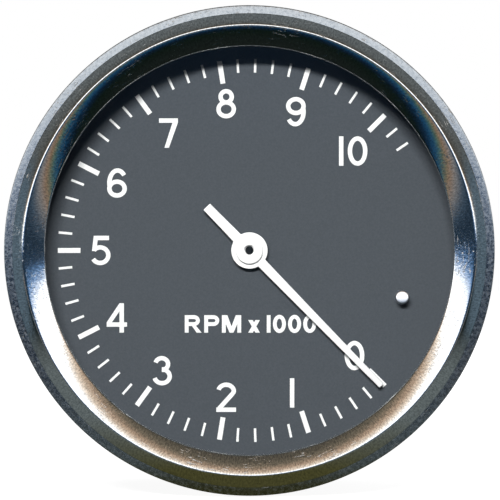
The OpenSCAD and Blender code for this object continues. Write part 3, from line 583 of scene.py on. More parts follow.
# a few numerals are set a little off their ticks to look evenly spaced
set_off = {1: (-0.57, -0.2), 7: (1.13, -0.5), 9: (0.1, -0.45), 10: (-0.9, -1.0)}
marks = []
for n in range(11):
    turn_to = radians(zero_angle - n * step_angle)
    text = str(n)
    off_x, off_y = set_off.get(n, (0, 0))
    for j, digit in enumerate(text):
        aside = (j - 0.5) * digits_apart if len(text) == 2 else 0
        marks.append((figure(digit, stroke / numeral_h),
                      (numeral_r * cos(turn_to) + aside + off_x, numeral_r * sin(turn_to) + off_y),
                      numeral_h, stroke / numeral_h, 1))
legend_h, legend_stroke = 3.1, 0.22
legend_x, legend_y = -3.69 * legend_h, -13 - legend_h / 2
for name, offset in (("R", 0), ("P", 1.11), ("M", 2.12), ("x", 3.62), ("1", 4.68), ("0", 5.03),
                     ("0", 5.895), ("0", 6.76)):
    marks.append((letter(name, legend_stroke), (legend_x + offset * legend_h, legend_y), legend_h,
                  legend_stroke, 1))
figures = print_figures("printed_figures", marks, screen_ink, dial_top, ink)
seat(figures, "instrument", "white_print", "dial_print")

# ---- Stop pin ----
# A bright steel pin with a slightly domed end stands up through the dial from the chassis tray. The
# pointer homes against it when the power is switched on.
# Nickel plated steel: bright, with the soft sheen of a barrel finished part
nickel_steel = speckled("nickel_plated_steel", "#f2f3f3", 0.3, 1.0, 0.0004, 2.0,
                        spread=(0.24, 0.36))
pin_low, pin_high = (v * 1000 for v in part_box("stop_pin"))
pin_top, pin_foot = -pin_low.y, -pin_high.y
pin_r, dome = 1.1, 0.12
pin = turn("stop_pin_polished",
           [(0, pin_foot, 0), (pin_r, pin_foot, 0.1), (pin_r, pin_top - dome, 0)]
           + [(pin_r * cos(radians(a)), pin_top - dome + dome * sin(radians(a)), 0)
              for a in range(9, 90, 9)]
           + [(0, pin_top, 0)], nickel_steel, stop_at, sides=64)
# its end was cut a little out of square, so that it catches the light from above
out_of_square = 0.15
for corner in pin.data.vertices:
    if corner.co.y < -(pin_top - 0.3) / 1000:
        corner.co.y += out_of_square * (corner.co.z - stop_at[1] / 1000 + pin_r / 1000)
seat(pin, "instrument", "polished_steel", "stop_pin")

# ---- Pointer ----
# The pointer is blanked from thin aluminium, blade, disc and short tail in one, and painted satin
# white. A white boss with an open centre clamps it on the spindle, whose end shows in the recess.
# Satin white enamel: smooth, with a soft sheen and rounded edges
enamel = speckled("satin_white_enamel", "#fbfcfb", 0.38, 0.0, 0.0015, 2.0, height=0.00001)

rest_angle = -45.7
blade_low, blade_high = (v * 1000 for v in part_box("pointer"))
blade_top, blade_under = -blade_low.y, -blade_high.y
hub_r, blade_w, tip_w, tip_r, tail_len, tail_w = 3.2, 1.54, 1.05, 33.4, 10.8, 1.67
blade_turn, tail_turn = (degrees(asin(0.5 * w / hub_r)) for w in (blade_w, tail_w))
edge = ([(tip_r - 0.1, -tip_w / 2), (tip_r, -tip_w / 2 + 0.12), (tip_r, tip_w / 2 - 0.12),
         (tip_r - 0.1, tip_w / 2)]
        + arc(0, 0, hub_r, hub_r, blade_turn, 180 - tail_turn, 40)
        + [(-tail_len + 0.1, tail_w / 2), (-tail_len, tail_w / 2 - 0.1),
           (-tail_len, -tail_w / 2 + 0.1), (-tail_len + 0.1, -tail_w / 2)]
        + arc(0, 0, hub_r, hub_r, 180 + tail_turn, 360 - blade_turn, 40))
lean = Matrix.Rotation(radians(rest_angle), 4, "Z")
work = bmesh.new()
face = skin(work, [[work.verts.new(lean @ Vector((x, y, z))) for x, y in edge]
                   for z in (blade_under, blade_top)])
bmesh.ops.bevel(work, geom=list(face.edges), offset=0.07, segments=3, affect="EDGES", profile=0.5)
blade = settle(make_piece("pointer_painted", work, enamel))
seat(blade, "pointer_movement", "pointer_paint", "pointer")

boss_top = blade_top + 0.6
boss = turn("pointer_boss_painted",
            [(0.95, blade_top, 0), (2.4, blade_top, 0), (2.4, boss_top, 0.2),
             (0.95, boss_top, 0.04)], enamel, sides=96)
under = dial_top + 0.3
collar = turn("pointer_collar", [(0.75, under, 0), (1.6, under, 0.1), (1.6, blade_under, 0),
                                 (0.75, blade_under, 0)], enamel, sides=64)
seat(boss, "pointer_movement", "pointer_paint", "pointer_boss")
seat(collar, "pointer_movement", "pointer_paint", "pointer_boss")

# ---- Spacer ring and lamps ----
# A ring of matt black plastic stands on the dial's edge, carries the lens and holds four small
# lamps in pockets behind the bezel's lip. Only its inner wall shows, as a dark edge.
# Moulded black plastic: matt, with a fine moulding texture 0.15 mm across
black_plastic = speckled("moulded_black_plastic", "#151517", 0.6, 0.0, 0.00015, 3.0, height=0.00001)
spacer_in = 36.3
lens_under, lens_top = -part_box("lens")[1].y * 1000, -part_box("lens")[0].y * 1000
lens_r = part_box("lens")[1].x * 1000
spacer = turn("spacer_ring_moulded",
              [(spacer_in, dial_top, 0), (dial_r, dial_top, 0.1), (dial_r, lens_under, 0.1),
               (spacer_in, lens_under, 0.2)], black_plastic)
seat(spacer, "instrument", "black_plastic", "spacer_ring")

# Clear lamp resin: warm ivory, glossy
lamp_resin = speckled("lamp_resin", "#efe6c4", 0.2, 0.0, 0.001, 2.0, ("#e6dcb4", "#f6efd6"),
                      plain={"IOR": 1.53})
dress(lamp_resin, "dial_lamps")

# ---- Lens ----
# A disc of clear float glass 2 mm thick lies on the spacer ring, with ground edges, and seals
# against a rubber ring under the bezel's lip.
# Float glass: clear, colourless to the eye, mirror smooth; shadow and bounced light pass straight
glass, tree, shader, place = start_finish("float_glass", "#ffffff", 0.0)
feed(tree, shader, {"Transmission Weight": 1.0, "IOR": 1.5})
rays = add(tree, "ShaderNodeLightPath").outputs
unlit = add(tree, "ShaderNodeMath", {0: rays["Is Shadow Ray"], 1: rays["Is Diffuse Ray"]},
            operation="MAXIMUM")
straight = add(tree, "ShaderNodeMath", {0: unlit, 1: rays["Is Glossy Ray"]}, operation="MAXIMUM")
clear = add(tree, "ShaderNodeBsdfTransparent", {"Color": (1.0, 1.0, 1.0, 1.0)})
pane = add(tree, "ShaderNodeMixShader", {0: straight, 1: shader, 2: clear})
feed(tree, tree.nodes["Material Output"], {"Surface": pane})
lens = turn("lens_glass_disc", [(0, lens_under, 0), (lens_r, lens_under, 0.25),
                                (lens_r, lens_top, 0.25), (0, lens_top, 0)], glass)
seat(lens, "instrument", "lens_glass", "lens")

# Moulded rubber: black, matt, slightly grey in patches 2.5 mm across where it has aged
rubber = speckled("moulded_rubber", "#1a1a1a", 0.75, 0.0, 0.0025, 5.0, ("#121212", "#262625"),
                  height=0.00003)

# ---- Bezel ----
# The bezel is brass sheet 0.8 mm thick, spun to a rolled skirt, a sharp crest and an inner slope
# down to the lip over the lens, then nickel and chromium plated. Its edge is rolled round the
# case's flange. Years in use have left the plating pitted, scratched and dulled, most on the rim.
bezel_r, sheet = 43.0, 0.8
bend, crest_bend = sheet + 0.2, 0.5
crest_c = (bezel_r - 3.65, 9 - crest_bend)
rim_h = 6.8
groove = (bezel_r - 1.44, rim_h + 0.52)
lip_end = (bezel_r - 7.1 + 0.11, 7.4)
rolled_r, shoulder = 40.75, (bezel_r - 0.2, rim_h + 0.31)


def curve(p, q, r, steps):
    """A bow from p to r that is drawn towards q."""
    return [((1 - t) ** 2 * p[0] + 2 * t * (1 - t) * q[0] + t * t * r[0],
             (1 - t) ** 2 * p[1] + 2 * t * (1 - t) * q[1] + t * t * r[1])
            for t in (i / steps for i in range(steps + 1))]


def meet(p, a, q, b):
    """Where the line through p at angle a meets the line through q at angle b."""
    ca, sa, cb, sb = cos(radians(a)), sin(radians(a)), cos(radians(b)), sin(radians(b))
    along = ((q[1] - p[1]) * cb - (q[0] - p[0]) * sb) / (sb * ca - cb * sa)
    return (p[0] - along * ca, p[1] - along * sa)


crest = arc(*crest_c, crest_bend, crest_bend, 64, 106, 12)
face_point = meet(crest[-1], 19, lip_end, 31)
flank_point = meet(crest[0], -26, groove, -41)
outer = [(rolled_r, 0.0)]
outer += arc(bezel_r - bend - 0.1, bend + 0.1, bend + 0.1, bend + 0.1, -90, 0, 14)
outer += curve((bezel_r, rim_h + 0.08), (bezel_r, rim_h + 0.26), shoulder, 8)
outer += curve(shoulder, (bezel_r - 0.7, rim_h + 0.41), groove, 14)
outer += curve(groove, flank_point, crest[0], 16)[1:]
outer += crest
outer += curve(crest[-1], face_point, lip_end, 24)
line = [Vector(p) for i, p in enumerate(outer)
        if not i or (Vector(p) - Vector(outer[i - 1])).length > 0.02]
inner = []
for i, p in enumerate(line):
    way = (line[min(i + 1, len(line) - 1)] - line[max(i - 1, 0)]).normalized()
    inner.append(p + Vector((-way.y, way.x)) * sheet)
# where the sheet bends tighter than its thickness, the inside keeps only a corner
inner = [q for q in inner if min((q - p).length for p in line) > sheet * 0.98]
nose = (line[-1] + inner[-1]) / 2
facing = atan2(line[-1].y - nose.y, line[-1].x - nose.x)
around = [nose + sheet / 2 * Vector((cos(facing + radians(a)), sin(facing + radians(a))))
          for a in range(15, 180, 15)]
section = line + around + inner[:0:-1] + [Vector((rolled_r, sheet))]

# Worn chromium plate: a cool bright mirror, dulled and speckled where it is pitted and scratched
chrome, tree, shader, place = start_finish("worn_chromium_plate", "#dfe2e5", 0.09, 1.0)
apart = add(tree, "ShaderNodeSeparateXYZ", {"Vector": place}).outputs
round_angle = add(tree, "ShaderNodeMath", {0: apart["Z"], 1: apart["X"]}, operation="ARCTAN2")
flat_x = add(tree, "ShaderNodeMath", {0: apart["X"], 1: apart["X"]}, operation="MULTIPLY")
flat_z = add(tree, "ShaderNodeMath", {0: apart["Z"], 1: apart["Z"]}, operation="MULTIPLY")
squared = add(tree, "ShaderNodeMath", {0: flat_x, 1: flat_z}, operation="ADD")
radius = add(tree, "ShaderNodeMath", {0: squared}, operation="SQRT")
around_arc = add(tree, "ShaderNodeMath", {0: round_angle, 1: 0.006}, operation="MULTIPLY")
ringwise = add(tree, "ShaderNodeCombineXYZ", {"X": around_arc, "Y": radius, "Z": apart["Y"]})
# pits 0.3 mm across that stand 0.9 mm apart, and cloudy wear several millimetres across
pits = add(tree, "ShaderNodeTexVoronoi", {"Vector": place, "Scale": 1 / 0.0009})
pit = add(tree, "ShaderNodeMapRange",
          {"Value": pits, "From Min": 0.1, "From Max": 0.22, "To Min": 1.0, "To Max": 0.0})
grain = add(tree, "ShaderNodeTexNoise",
            {"Vector": place, "Scale": 1 / 0.0005, "Detail": 3.0, "Roughness": 0.6})
# fine marks of polishing on the face, across the ring: 0.3 mm apart and nearly twice as long
across_arc = add(tree, "ShaderNodeMath", {0: round_angle, 1: 0.041}, operation="MULTIPLY")
along_radius = add(tree, "ShaderNodeMath", {0: radius, 1: 0.6}, operation="MULTIPLY")
crosswise = add(tree, "ShaderNodeCombineXYZ", {"X": across_arc, "Y": along_radius})
brushed = add(tree, "ShaderNodeTexNoise",
              {"Vector": crosswise, "Scale": 1 / 0.0003, "Detail": 4.0, "Roughness": 0.7})
mottle = add(tree, "ShaderNodeTexNoise",
             {"Vector": place, "Scale": 1 / 0.0006, "Detail": 5.0, "Roughness": 0.65})
blotch = add(tree, "ShaderNodeMapRange", {"Value": mottle, "From Min": 0.38, "From Max": 0.62})
wear = add(tree, "ShaderNodeTexNoise",
           {"Vector": place, "Scale": 1 / 0.007, "Detail": 8.0, "Roughness": 0.65})
worn = add(tree, "ShaderNodeMapRange", {"Value": wear, "From Min": 0.45, "From Max": 0.72})
outside = add(tree, "ShaderNodeMapRange", {"Value": radius, "From Min": 0.0414, "From Max": 0.0416})
forward = add(tree, "ShaderNodeMapRange",
              {"Value": apart["Y"], "From Min": -0.0058, "From Max": -0.0066})
on_rim = add(tree, "ShaderNodeMath", {0: outside, 1: forward}, operation="MULTIPLY")
pitted = add(tree, "ShaderNodeMath", {0: pit, 1: worn}, operation="MULTIPLY")
# short scuffs 0.3 mm wide that run round the ring, in the worn places
scuffs = add(tree, "ShaderNodeTexNoise", {"Vector": ringwise, "Scale": 1 / 0.0003, "Detail": 4.0,
                                          "Roughness": 0.6, "Distortion": 0.5})
scuff = add(tree, "ShaderNodeMapRange", {"Value": scuffs, "From Min": 0.6, "From Max": 0.7})
scuffed_part = add(tree, "ShaderNodeMapRange", {"Value": wear, "From Min": 0.48, "From Max": 0.6})
scuffed = add(tree, "ShaderNodeMath", {0: scuff, 1: scuffed_part}, operation="MULTIPLY")
specks = add(tree, "ShaderNodeMath", {0: pitted, 1: scuffed}, operation="MAXIMUM")
scratches = add(tree, "ShaderNodeTexNoise",
                {"Vector": ringwise, "Scale": 1 / 0.00012, "Detail": 3.0})
scratch = add(tree, "ShaderNodeMapRange", {"Value": scratches, "From Min": 0.55, "From Max": 0.75})
dull_rim = add(tree, "ShaderNodeMath", {0: on_rim, 1: blotch}, operation="MULTIPLY")
# a little dull all over, more along scratches and on the rim, and most at the specks
dull = 0.1
for part, more in ((scratch, 0.06), (dull_rim, 0.12), (on_rim, 0.1), (specks, 0.26)):
    dull = add(tree, "ShaderNodeMath", {0: part, 1: more, 2: dull}, operation="MULTIPLY_ADD")
# the skirt round the side was only plated, and has no marks of polishing
unbrushed_side = add(tree, "ShaderNodeMix", {0: outside, 2: brushed, 3: 0.52}, data_type="FLOAT")
finish_marks = add(tree, "ShaderNodeMix", {0: on_rim, 2: unbrushed_side, 3: mottle},
                   data_type="FLOAT")
streak = add(tree, "ShaderNodeValToRGB",
             {"Fac": finish_marks}, stops=[(0.34, srgb("#aeb2b6")), (0.5, srgb("#d8dadb")),
                                           (0.64, srgb("#f2f4f5"))])
rim_cast = add(tree, "ShaderNodeMix", {0: on_rim, 6: streak, 7: srgb("#bcc1c6")}, data_type="RGBA",
               blend_type="MULTIPLY")
tint = add(tree, "ShaderNodeMix", {0: specks, 6: rim_cast, 7: srgb("#b4b0a8")}, data_type="RGBA")
# the fine grain, 0.5 mm across, stands up most where the plating is worn, and on the rim
rough_patch = add(tree, "ShaderNodeMath", {0: worn, 1: on_rim}, operation="MAXIMUM")
grain_share = add(tree, "ShaderNodeMath", {0: rough_patch, 1: 0.32}, operation="MULTIPLY")
grain_height = add(tree, "ShaderNodeMath", {0: grain, 1: grain_share}, operation="MULTIPLY")
height = add(tree, "ShaderNodeMath", {0: specks, 1: -0.28, 2: grain_height},
             operation="MULTIPLY_ADD")
bump = add(tree, "ShaderNodeBump", {"Height": height, "Distance": 0.00006})
feed(tree, shader, {"Base Color": tint, "Roughness": dull, "Normal": bump})

bezel = turn("bezel_spun", [(p.x, p.y, 0) for p in section], chrome, sides=360, smooth=30)
seat(bezel, "instrument", "chromed_bezel", "bezel")
seal_low, seal_high = (v * 1000 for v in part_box("glazing_seal"))
seal = turn("glazing_seal_moulded",
            [(inner[-1].x + 0.1, lens_top, 0), (lens_r + 0.05, lens_top, 0),
             (lens_r + 0.05, lens_under + 0.2, 0), (seal_high.x, lens_under + 0.2, 0.1),
             (seal_high.x, -seal_low.y - 0.02, 0.1), (inner[-1].x + 0.1, inner[-1].y - 0.12, 0.05)],
            rubber)
seat(seal, "instrument", "seal_rubber", "glazing_seal")

# ---- Case shell ----
# The can is drawn steel: a flange that the bezel is rolled over, a land that fills the panel's
# hole, and a slightly narrower barrel with its rear edge turned in. It is stoved satin black.
# Stoved enamel: black with a slight orange peel, 1.6 mm across, and a soft sheen
stoved_black, tree, shader, place = start_finish("stoved_black_enamel", "#1d1d1f", 0.36)
peel = add(tree, "ShaderNodeTexNoise", {"Vector": place, "Scale": 1 / 0.0016, "Detail": 2.0})
rub = add(tree, "ShaderNodeTexNoise", {"Vector": place, "Scale": 1 / 0.012, "Detail": 6.0})
tint = add(tree, "ShaderNodeMix", {0: rub, 6: srgb("#161617"), 7: srgb("#28282a")},
           data_type="RGBA")
spread = add(tree, "ShaderNodeMapRange",
             {"Value": rub, "From Min": 0.3, "From Max": 0.7, "To Min": 0.3, "To Max": 0.48})
bump = add(tree, "ShaderNodeBump", {"Height": peel, "Distance": 0.000025})
feed(tree, shader, {"Base Color": tint, "Roughness": spread, "Normal": bump})

flange_r, spigot_r, seat_r, body_r, wall = 41.85, 39.75, 38.75, 39.0, 1.0
case_end, ledge = -48.0, -9.2
rim_in = body_r - 7
case = turn("case_shell_stoved", [
    (seat_r, 2.0, 0), (flange_r, 2.0, 0.2), (flange_r, sheet, 0.1), (spigot_r + 0.1, sheet, 0),
    (spigot_r, 0, 0), (spigot_r, -10, 0.15), (body_r, -10, 0.3), (body_r, case_end, 0.7),
    (rim_in, case_end, 0.2), (rim_in, case_end + wall, 0.1), (body_r - wall, case_end + wall, 0.3),
    (body_r - wall, ledge, 0.1), (seat_r, ledge, 0.1)], stoved_black)
screw_ring = body_r - wall - 2.5


def screw_holes(r, z0, z1):
    """The holes for the cover's four screws, as they are drilled."""
    return [(circle(screw_ring * cos(radians(a)), screw_ring * sin(radians(a)), r, 32), z0, z1)
            for a in (45, 135, 225, 315)]


drill(case, screw_holes(1.56, case_end - 1, case_end + 1.5))
seat(case, "instrument", "can_paint", "case_shell")

# ---- Rear cover, gasket and screws ----
# A pressed steel disc closes the can on a rubber gasket, held by four pan head screws. It is
# stoved like the can, and bored for the studs, the selector's bush and the lead's grommet.
cover_top, cover_under, cover_r = -48.4, -50.4, 38.7
gasket = turn("rear_gasket_cut", [(rim_in, cover_top, 0), (cover_r, cover_top, 0),
                                  (cover_r, case_end, 0), (rim_in, case_end, 0)], rubber)
drill(gasket, screw_holes(1.8, cover_top - 1, case_end + 1))
seat(gasket, "instrument", "seal_rubber", "rear_gasket")
stud_x, fitting_y = 25.0, 20.0
cover = turn("rear_cover_stoved", [(0, cover_under, 0), (cover_r, cover_under, 0.5),
                                   (cover_r, cover_top, 0.1), (0, cover_top, 0)], stoved_black)
drill(cover, screw_holes(1.7, cover_under - 1, cover_top + 1)
      + [(circle(x, y, r, 48), cover_under - 1, cover_top + 1)
         for x, y, r in ((-stud_x, 0, 2.05), (stud_x, 0, 2.05), (0, -fitting_y, 4.5),
                         (0, fitting_y, 3.55))])
seat(cover, "instrument", "can_paint", "rear_cover")

# Pan head screws: the seed is half of one screw's section, turned, slotted and set round a circle
screws, given = start_tree("screws", {
    "Count": "Int", "Circle": "Float", "First angle": "Float", "Slot": "Vector",
    "Slot height": "Float", "Finish": "Material"})
one = add(screws, "GeometryNodeGroup", {"Geometry": given["Geometry"], "Sides": 40,
                                        "Finish": given["Finish"]}, node_tree=turning)
bar = add(screws, "GeometryNodeMeshCube", {"Size": given["Slot"]})
lift = add(screws, "ShaderNodeCombineXYZ", {"Z": given["Slot height"]})
raised = add(screws, "GeometryNodeTransform", {"Geometry": bar, "Translation": lift})
slotted = add(screws, "GeometryNodeMeshBoolean", {"Mesh 1": one, "Mesh 2": raised},
              operation="DIFFERENCE", solver="EXACT")
number = add(screws, "GeometryNodeInputIndex")
share = add(screws, "ShaderNodeMath", {0: 2 * pi, 1: given["Count"]}, operation="DIVIDE")
angle = add(screws, "ShaderNodeMath", {0: number, 1: share, 2: given["First angle"]},
            operation="MULTIPLY_ADD")
points = set_round(screws, given["Count"], given["Circle"], angle, 0.0)
# each was tightened to a different slot angle
loose = add(screws, "FunctionNodeRandomValue", {2: 0.0, 3: 3.1, "Seed": 4}, data_type="FLOAT")
aim = add(screws, "ShaderNodeCombineXYZ", {"Z": loose})
placed = add(screws, "GeometryNodeInstanceOnPoints",
             {"Points": points, "Instance": slotted, "Rotation": aim})
close_tree(screws, placed, given["Finish"])

head_r, head_h, shank_r, shank_end = 2.85, 2.0, 1.5, -42
half = eased([(0, cover_under - head_h, 0), (head_r * 0.55, cover_under - head_h, 0),
              (head_r * 0.93, cover_under - head_h * 0.72, 0.8), (head_r, cover_under - 0.5, 0.5),
              (head_r, cover_under, 0.05), (shank_r, cover_under, 0), (shank_r, shank_end - 0.2, 0),
              (shank_r - 0.4, shank_end, 0), (0, shank_end, 0)])
points, edges = as_seed(half)
cover_screws = grow("cover_screws_pan", screws, points, edges,
                    {"Count": 4, "Circle": screw_ring, "First angle": radians(45),
                     "Slot": (head_r * 3, 0.8, 2.0), "Slot height": cover_under - head_h + 0.1,
                     "Finish": zinc_steel})
seat(cover_screws, "instrument", "steel", "cover_screws")

# ---- Lead grommet ----
# A moulded rubber grommet fills the lower hole of the cover. The lead would leave through its
# bore; a groove round its middle grips the sheet.
grommet = turn("lead_grommet_moulded", [
    (3.0, cover_under - 5, 0.3), (4.9, cover_under - 5, 0.5), (4.9, cover_under - 2, 0.2),
    (6.1, cover_under - 2, 0.6), (6.1, cover_under, 0.1), (4.5, cover_under, 0),
    (4.5, cover_top, 0), (6.1, cover_top, 0.1), (6.1, cover_top + 2, 0.6),
    (3.0, cover_top + 2, 0.3)],
    rubber, (0, -fitting_y), sides=96)
seat(grommet, "instrument", "seal_rubber", "cable_grommet")

# ---- Cylinder selector ----
# A small rotary switch sets the number of cylinders. Its blue moulded body sits inside the cover,
# its bush comes through and takes a thin hexagon nut, and its slotted steel spindle is turned
# with a screwdriver to one of three printed positions.
def sixsided(name, finish, centre, across_flats, bore, z0, z1, chamfer0, chamfer1):
    """A hexagon nut or head, with its corners chamfered at either end and a plain bore."""
    count, flat = 72, across_flats / 2
    land, chamfer_from, slope = flat * 0.95, flat * 0.97, 0.58
    work = bmesh.new()
    rows = []
    for i in range(count):
        turn_to = 2 * pi * i / count
        out = flat / cos((turn_to % (pi / 3)) - pi / 6)
        drop = max(0, out - chamfer_from) * slope
        profile = [(bore, z0), (min(out, land) if chamfer0 else out, z0)]
        if chamfer0:
            profile.append((out, z0 + drop))
        if chamfer1:
            profile.append((out, z1 - drop))
        profile += [(min(out, land) if chamfer1 else out, z1), (bore, z1)]
        rows.append([work.verts.new((centre[0] + r * cos(turn_to), centre[1] + r * sin(turn_to), z))
                     for r, z in profile])
    skin(work, rows, closed=True)
    return settle(make_piece(name, work, finish), 20)


# Moulded phenolic: very dark blue, semi-gloss, with swirls 2 mm across
phenolic = speckled("moulded_phenolic", "#1b2240", 0.4, 0.0, 0.002, 4.0, ("#171d38", "#212a4b"))
dress(phenolic, "selector_body")
bush = turn("selector_bush", [(1.55, cover_under - 4, 0), (3.5, cover_under - 4, 0.3),
                              (3.5, cover_top + 0.5, 0), (1.55, cover_top + 0.5, 0)],
            phenolic, (0, fitting_y), sides=64)
seat(bush, "instrument", "selector_plastic")
selector_nut = sixsided("selector_nut_hex", zinc_steel, (0, fitting_y), 10, 3.55, cover_under - 2,
                        cover_under, True, False)
seat(selector_nut, "instrument", "steel", "selector_nut")
knob_end = cover_under - 7
spindle = turn("selector_spindle_slotted", [
    (0, knob_end, 0), (2.8, knob_end, 0.35), (2.8, knob_end + 2.6, 0.2), (1.5, knob_end + 2.6, 0),
    (1.5, cover_top + 5.8, 0.2), (0, cover_top + 5.8, 0)], turned_steel, (0, fitting_y), sides=64)
slot = [(-0.45, -4), (0.45, -4), (0.45, 4), (-0.45, 4)]
notch = [(-0.4, 2.0), (0.4, 2.0), (0.4, 3.6), (-0.4, 3.6)]
aim = Matrix.Rotation(radians(-45), 2)
for cut, depth in ((slot, 1.4), (notch, 3.0)):
    drill(spindle, [([tuple(aim @ Vector(p) + Vector((0, fitting_y))) for p in cut], knob_end - 1,
                     knob_end + depth)])
seat(spindle, "selector", "steel", "selector_spindle")
mark_r, mark_h, mark_stroke = 9.5, 2.6, 0.15
marks = []
for n, turn_to in (("4", 45), ("6", 90), ("8", 135)):
    way = radians(turn_to)
    place = (mark_r * cos(way), fitting_y + mark_r * sin(way))
    marks.append((figure(n, mark_stroke), place, mark_h, mark_stroke, -1))
selector_print = print_figures("selector_figures", marks, screen_ink, cover_under - ink, ink)
seat(selector_print, "instrument", "white_print", "cover_print")

# ---- Studs ----
# Two M4 studs are held to the inside of the cover by their hexagon heads and clamped with nuts.
# Rolled threads carry the strap and its thumb nuts. Studs and nuts are zinc plated and passivated,
# which leaves them faintly yellow.
# Passivated zinc: pale metal with a yellow and pinkish cast that wanders over a few millimetres
passivated, tree, shader, place = start_finish("passivated_zinc", "#bdb498", 0.36, 1.0)
cast = add(tree, "ShaderNodeTexNoise", {"Vector": place, "Scale": 1 / 0.004, "Detail": 5.0})
tint = add(tree, "ShaderNodeValToRGB",
           {"Fac": cast}, stops=[(0.3, srgb("#bab08c")), (0.5, srgb("#c2bda6")),
                                 (0.7, srgb("#bcae9a"))])
fleck = add(tree, "ShaderNodeTexNoise", {"Vector": place, "Scale": 1 / 0.0005, "Detail": 4.0})
spread = add(tree, "ShaderNodeMapRange", {"Value": fleck, "To Min": 0.24, "To Max": 0.5})
feed(tree, shader, {"Base Color": tint, "Roughness": spread})

stud_end, pitch, stud_r = -79.6, 0.7, 2.0
core_r = stud_r - 0.4
for side, label in ((-1, "left"), (1, "right")):
    core = turn("stud_core_" + label, [(0, stud_end, 0), (core_r - 0.2, stud_end, 0.1),
                                       (core_r, stud_end + 0.4, 0), (core_r, cover_under + 0.3, 0),
                                       (stud_r, cover_under + 0.6, 0), (stud_r, cover_top, 0),
                                       (0, cover_top, 0)], passivated, (side * stud_x, 0), sides=48)
    seat(core, "instrument", "zinc_plate", "mounting_studs")
    head = sixsided("stud_head_" + label, passivated, (side * stud_x, 0), 7, 0.2, cover_top,
                    cover_top + 2.8, False, True)
    seat(head, "instrument", "zinc_plate")
    run = cover_under - stud_end - 0.9
    ridge = [(-0.1, -pitch * 0.46, 0), (0.385, -0.05, 0), (0.385, 0.05, 0), (-0.1, pitch * 0.46, 0)]
    thread = grow("stud_thread_" + label, helix, ridge, ring_edges(4),
                  {"Turns": run / pitch, "Length": run, "Radius": core_r + 0.01,
                   "Tilt": (0.0, 0.0, 0.0), "Centre": (side * stud_x, 0.0, stud_end + 0.5),
                   "Finish": passivated})
    seat(thread, "instrument", "zinc_plate")
    nut = sixsided("stud_nut_" + label, passivated, (side * stud_x, 0), 7, 2.05,
                   cover_under - 3.2, cover_under, True, True)
    seat(nut, "instrument", "zinc_plate", "stud_nuts")

# ---- Clamp strap ----
# The strap is mild steel strip 16 mm wide and 1.6 mm thick, bent to a U and pierced for the studs.
# Its feet bear on the back of the panel. It is barrel plated and passivated like the studs.
leg_in, strap_t, strap_w, bend_r = spigot_r + 0.45, 1.6, 16.0, 3.0
foot, bridge_top, bridge_under = -14.0, -66.5, -68.1
out = leg_in + strap_t
bend_at = (out - bend_r, bridge_under + bend_r)
half_section = ([(out, foot), (out, bridge_under + bend_r)]
                + arc(*bend_at, bend_r, bend_r, 0, -90, 14)[1:])
half_inside = ([(out - bend_r, bridge_top)]
               + arc(*bend_at, bend_r - strap_t, bend_r - strap_t, -90, 0, 14)[1:]
               + [(leg_in, foot)])
ring = half_section + [(-x, z) for x, z in half_section[::-1]]
ring += [(-x, z) for x, z in half_inside[::-1]] + half_inside
work = bmesh.new()
skin(work, [[work.verts.new((x, y, z)) for x, z in ring] for y in (-strap_w / 2, strap_w / 2)])
bmesh.ops.recalc_face_normals(work, faces=work.faces)
sharp = [e for e in work.edges if e.calc_face_angle(0) > radians(60)]
bmesh.ops.bevel(work, geom=sharp, offset=0.22, segments=3, affect="EDGES", profile=0.5)
strap = settle(make_piece("clamp_strap_bent", work, passivated), 40)
drill(strap, [(circle(s * stud_x, 0, 2.3, 48), bridge_under - 1, bridge_top + 1) for s in (-1, 1)])
seat(strap, "strap", "zinc_plate", "clamp_strap")

# ---- Spring washers and thumb nuts ----
# Split spring washers keep the thumb nuts from working loose. The nuts are turned from brass bar,
# with a plain collar and a straight knurl for the fingers, and have gone dull.
nut_top, nut_under = -69.1, -75.1
for side, label in ((-1, "left"), (1, "right")):
    work = bmesh.new()
    rows = []
    for i in range(61):
        turn_to = radians(8 + 344 * i / 60)
        z = nut_top + 0.02 + 0.1 * i / 60
        rows.append([work.verts.new((side * stud_x + r * cos(turn_to), r * sin(turn_to), z + up))
                     for r, up in ((2.2, 0.05), (2.25, 0), (3.7, 0), (3.75, 0.05), (3.75, 0.8),
                                   (3.7, 0.85), (2.25, 0.85), (2.2, 0.8))])
    skin(work, rows)
    washer = settle(make_piece("spring_washer_" + label, work, zinc_steel))
    seat(washer, "strap", "steel", "spring_washers")

# Dull brass: browned in the hollows, brighter where fingers rub the knurl
dull_brass, tree, shader, place = start_finish("tarnished_brass", "#a58350", 0.42, 1.0)
tarnish = add(tree, "ShaderNodeTexNoise", {"Vector": place, "Scale": 1 / 0.003, "Detail": 6.0})
tint = add(tree, "ShaderNodeValToRGB",
           {"Fac": tarnish}, stops=[(0.35, srgb("#7b5f38")), (0.5, srgb("#a3814d")),
                                    (0.68, srgb("#bd9a5f"))])
spread = add(tree, "ShaderNodeMapRange",
             {"Value": tarnish, "From Min": 0.3, "From Max": 0.7, "To Min": 0.55, "To Max": 0.32})
feed(tree, shader, {"Base Color": tint, "Roughness": spread})

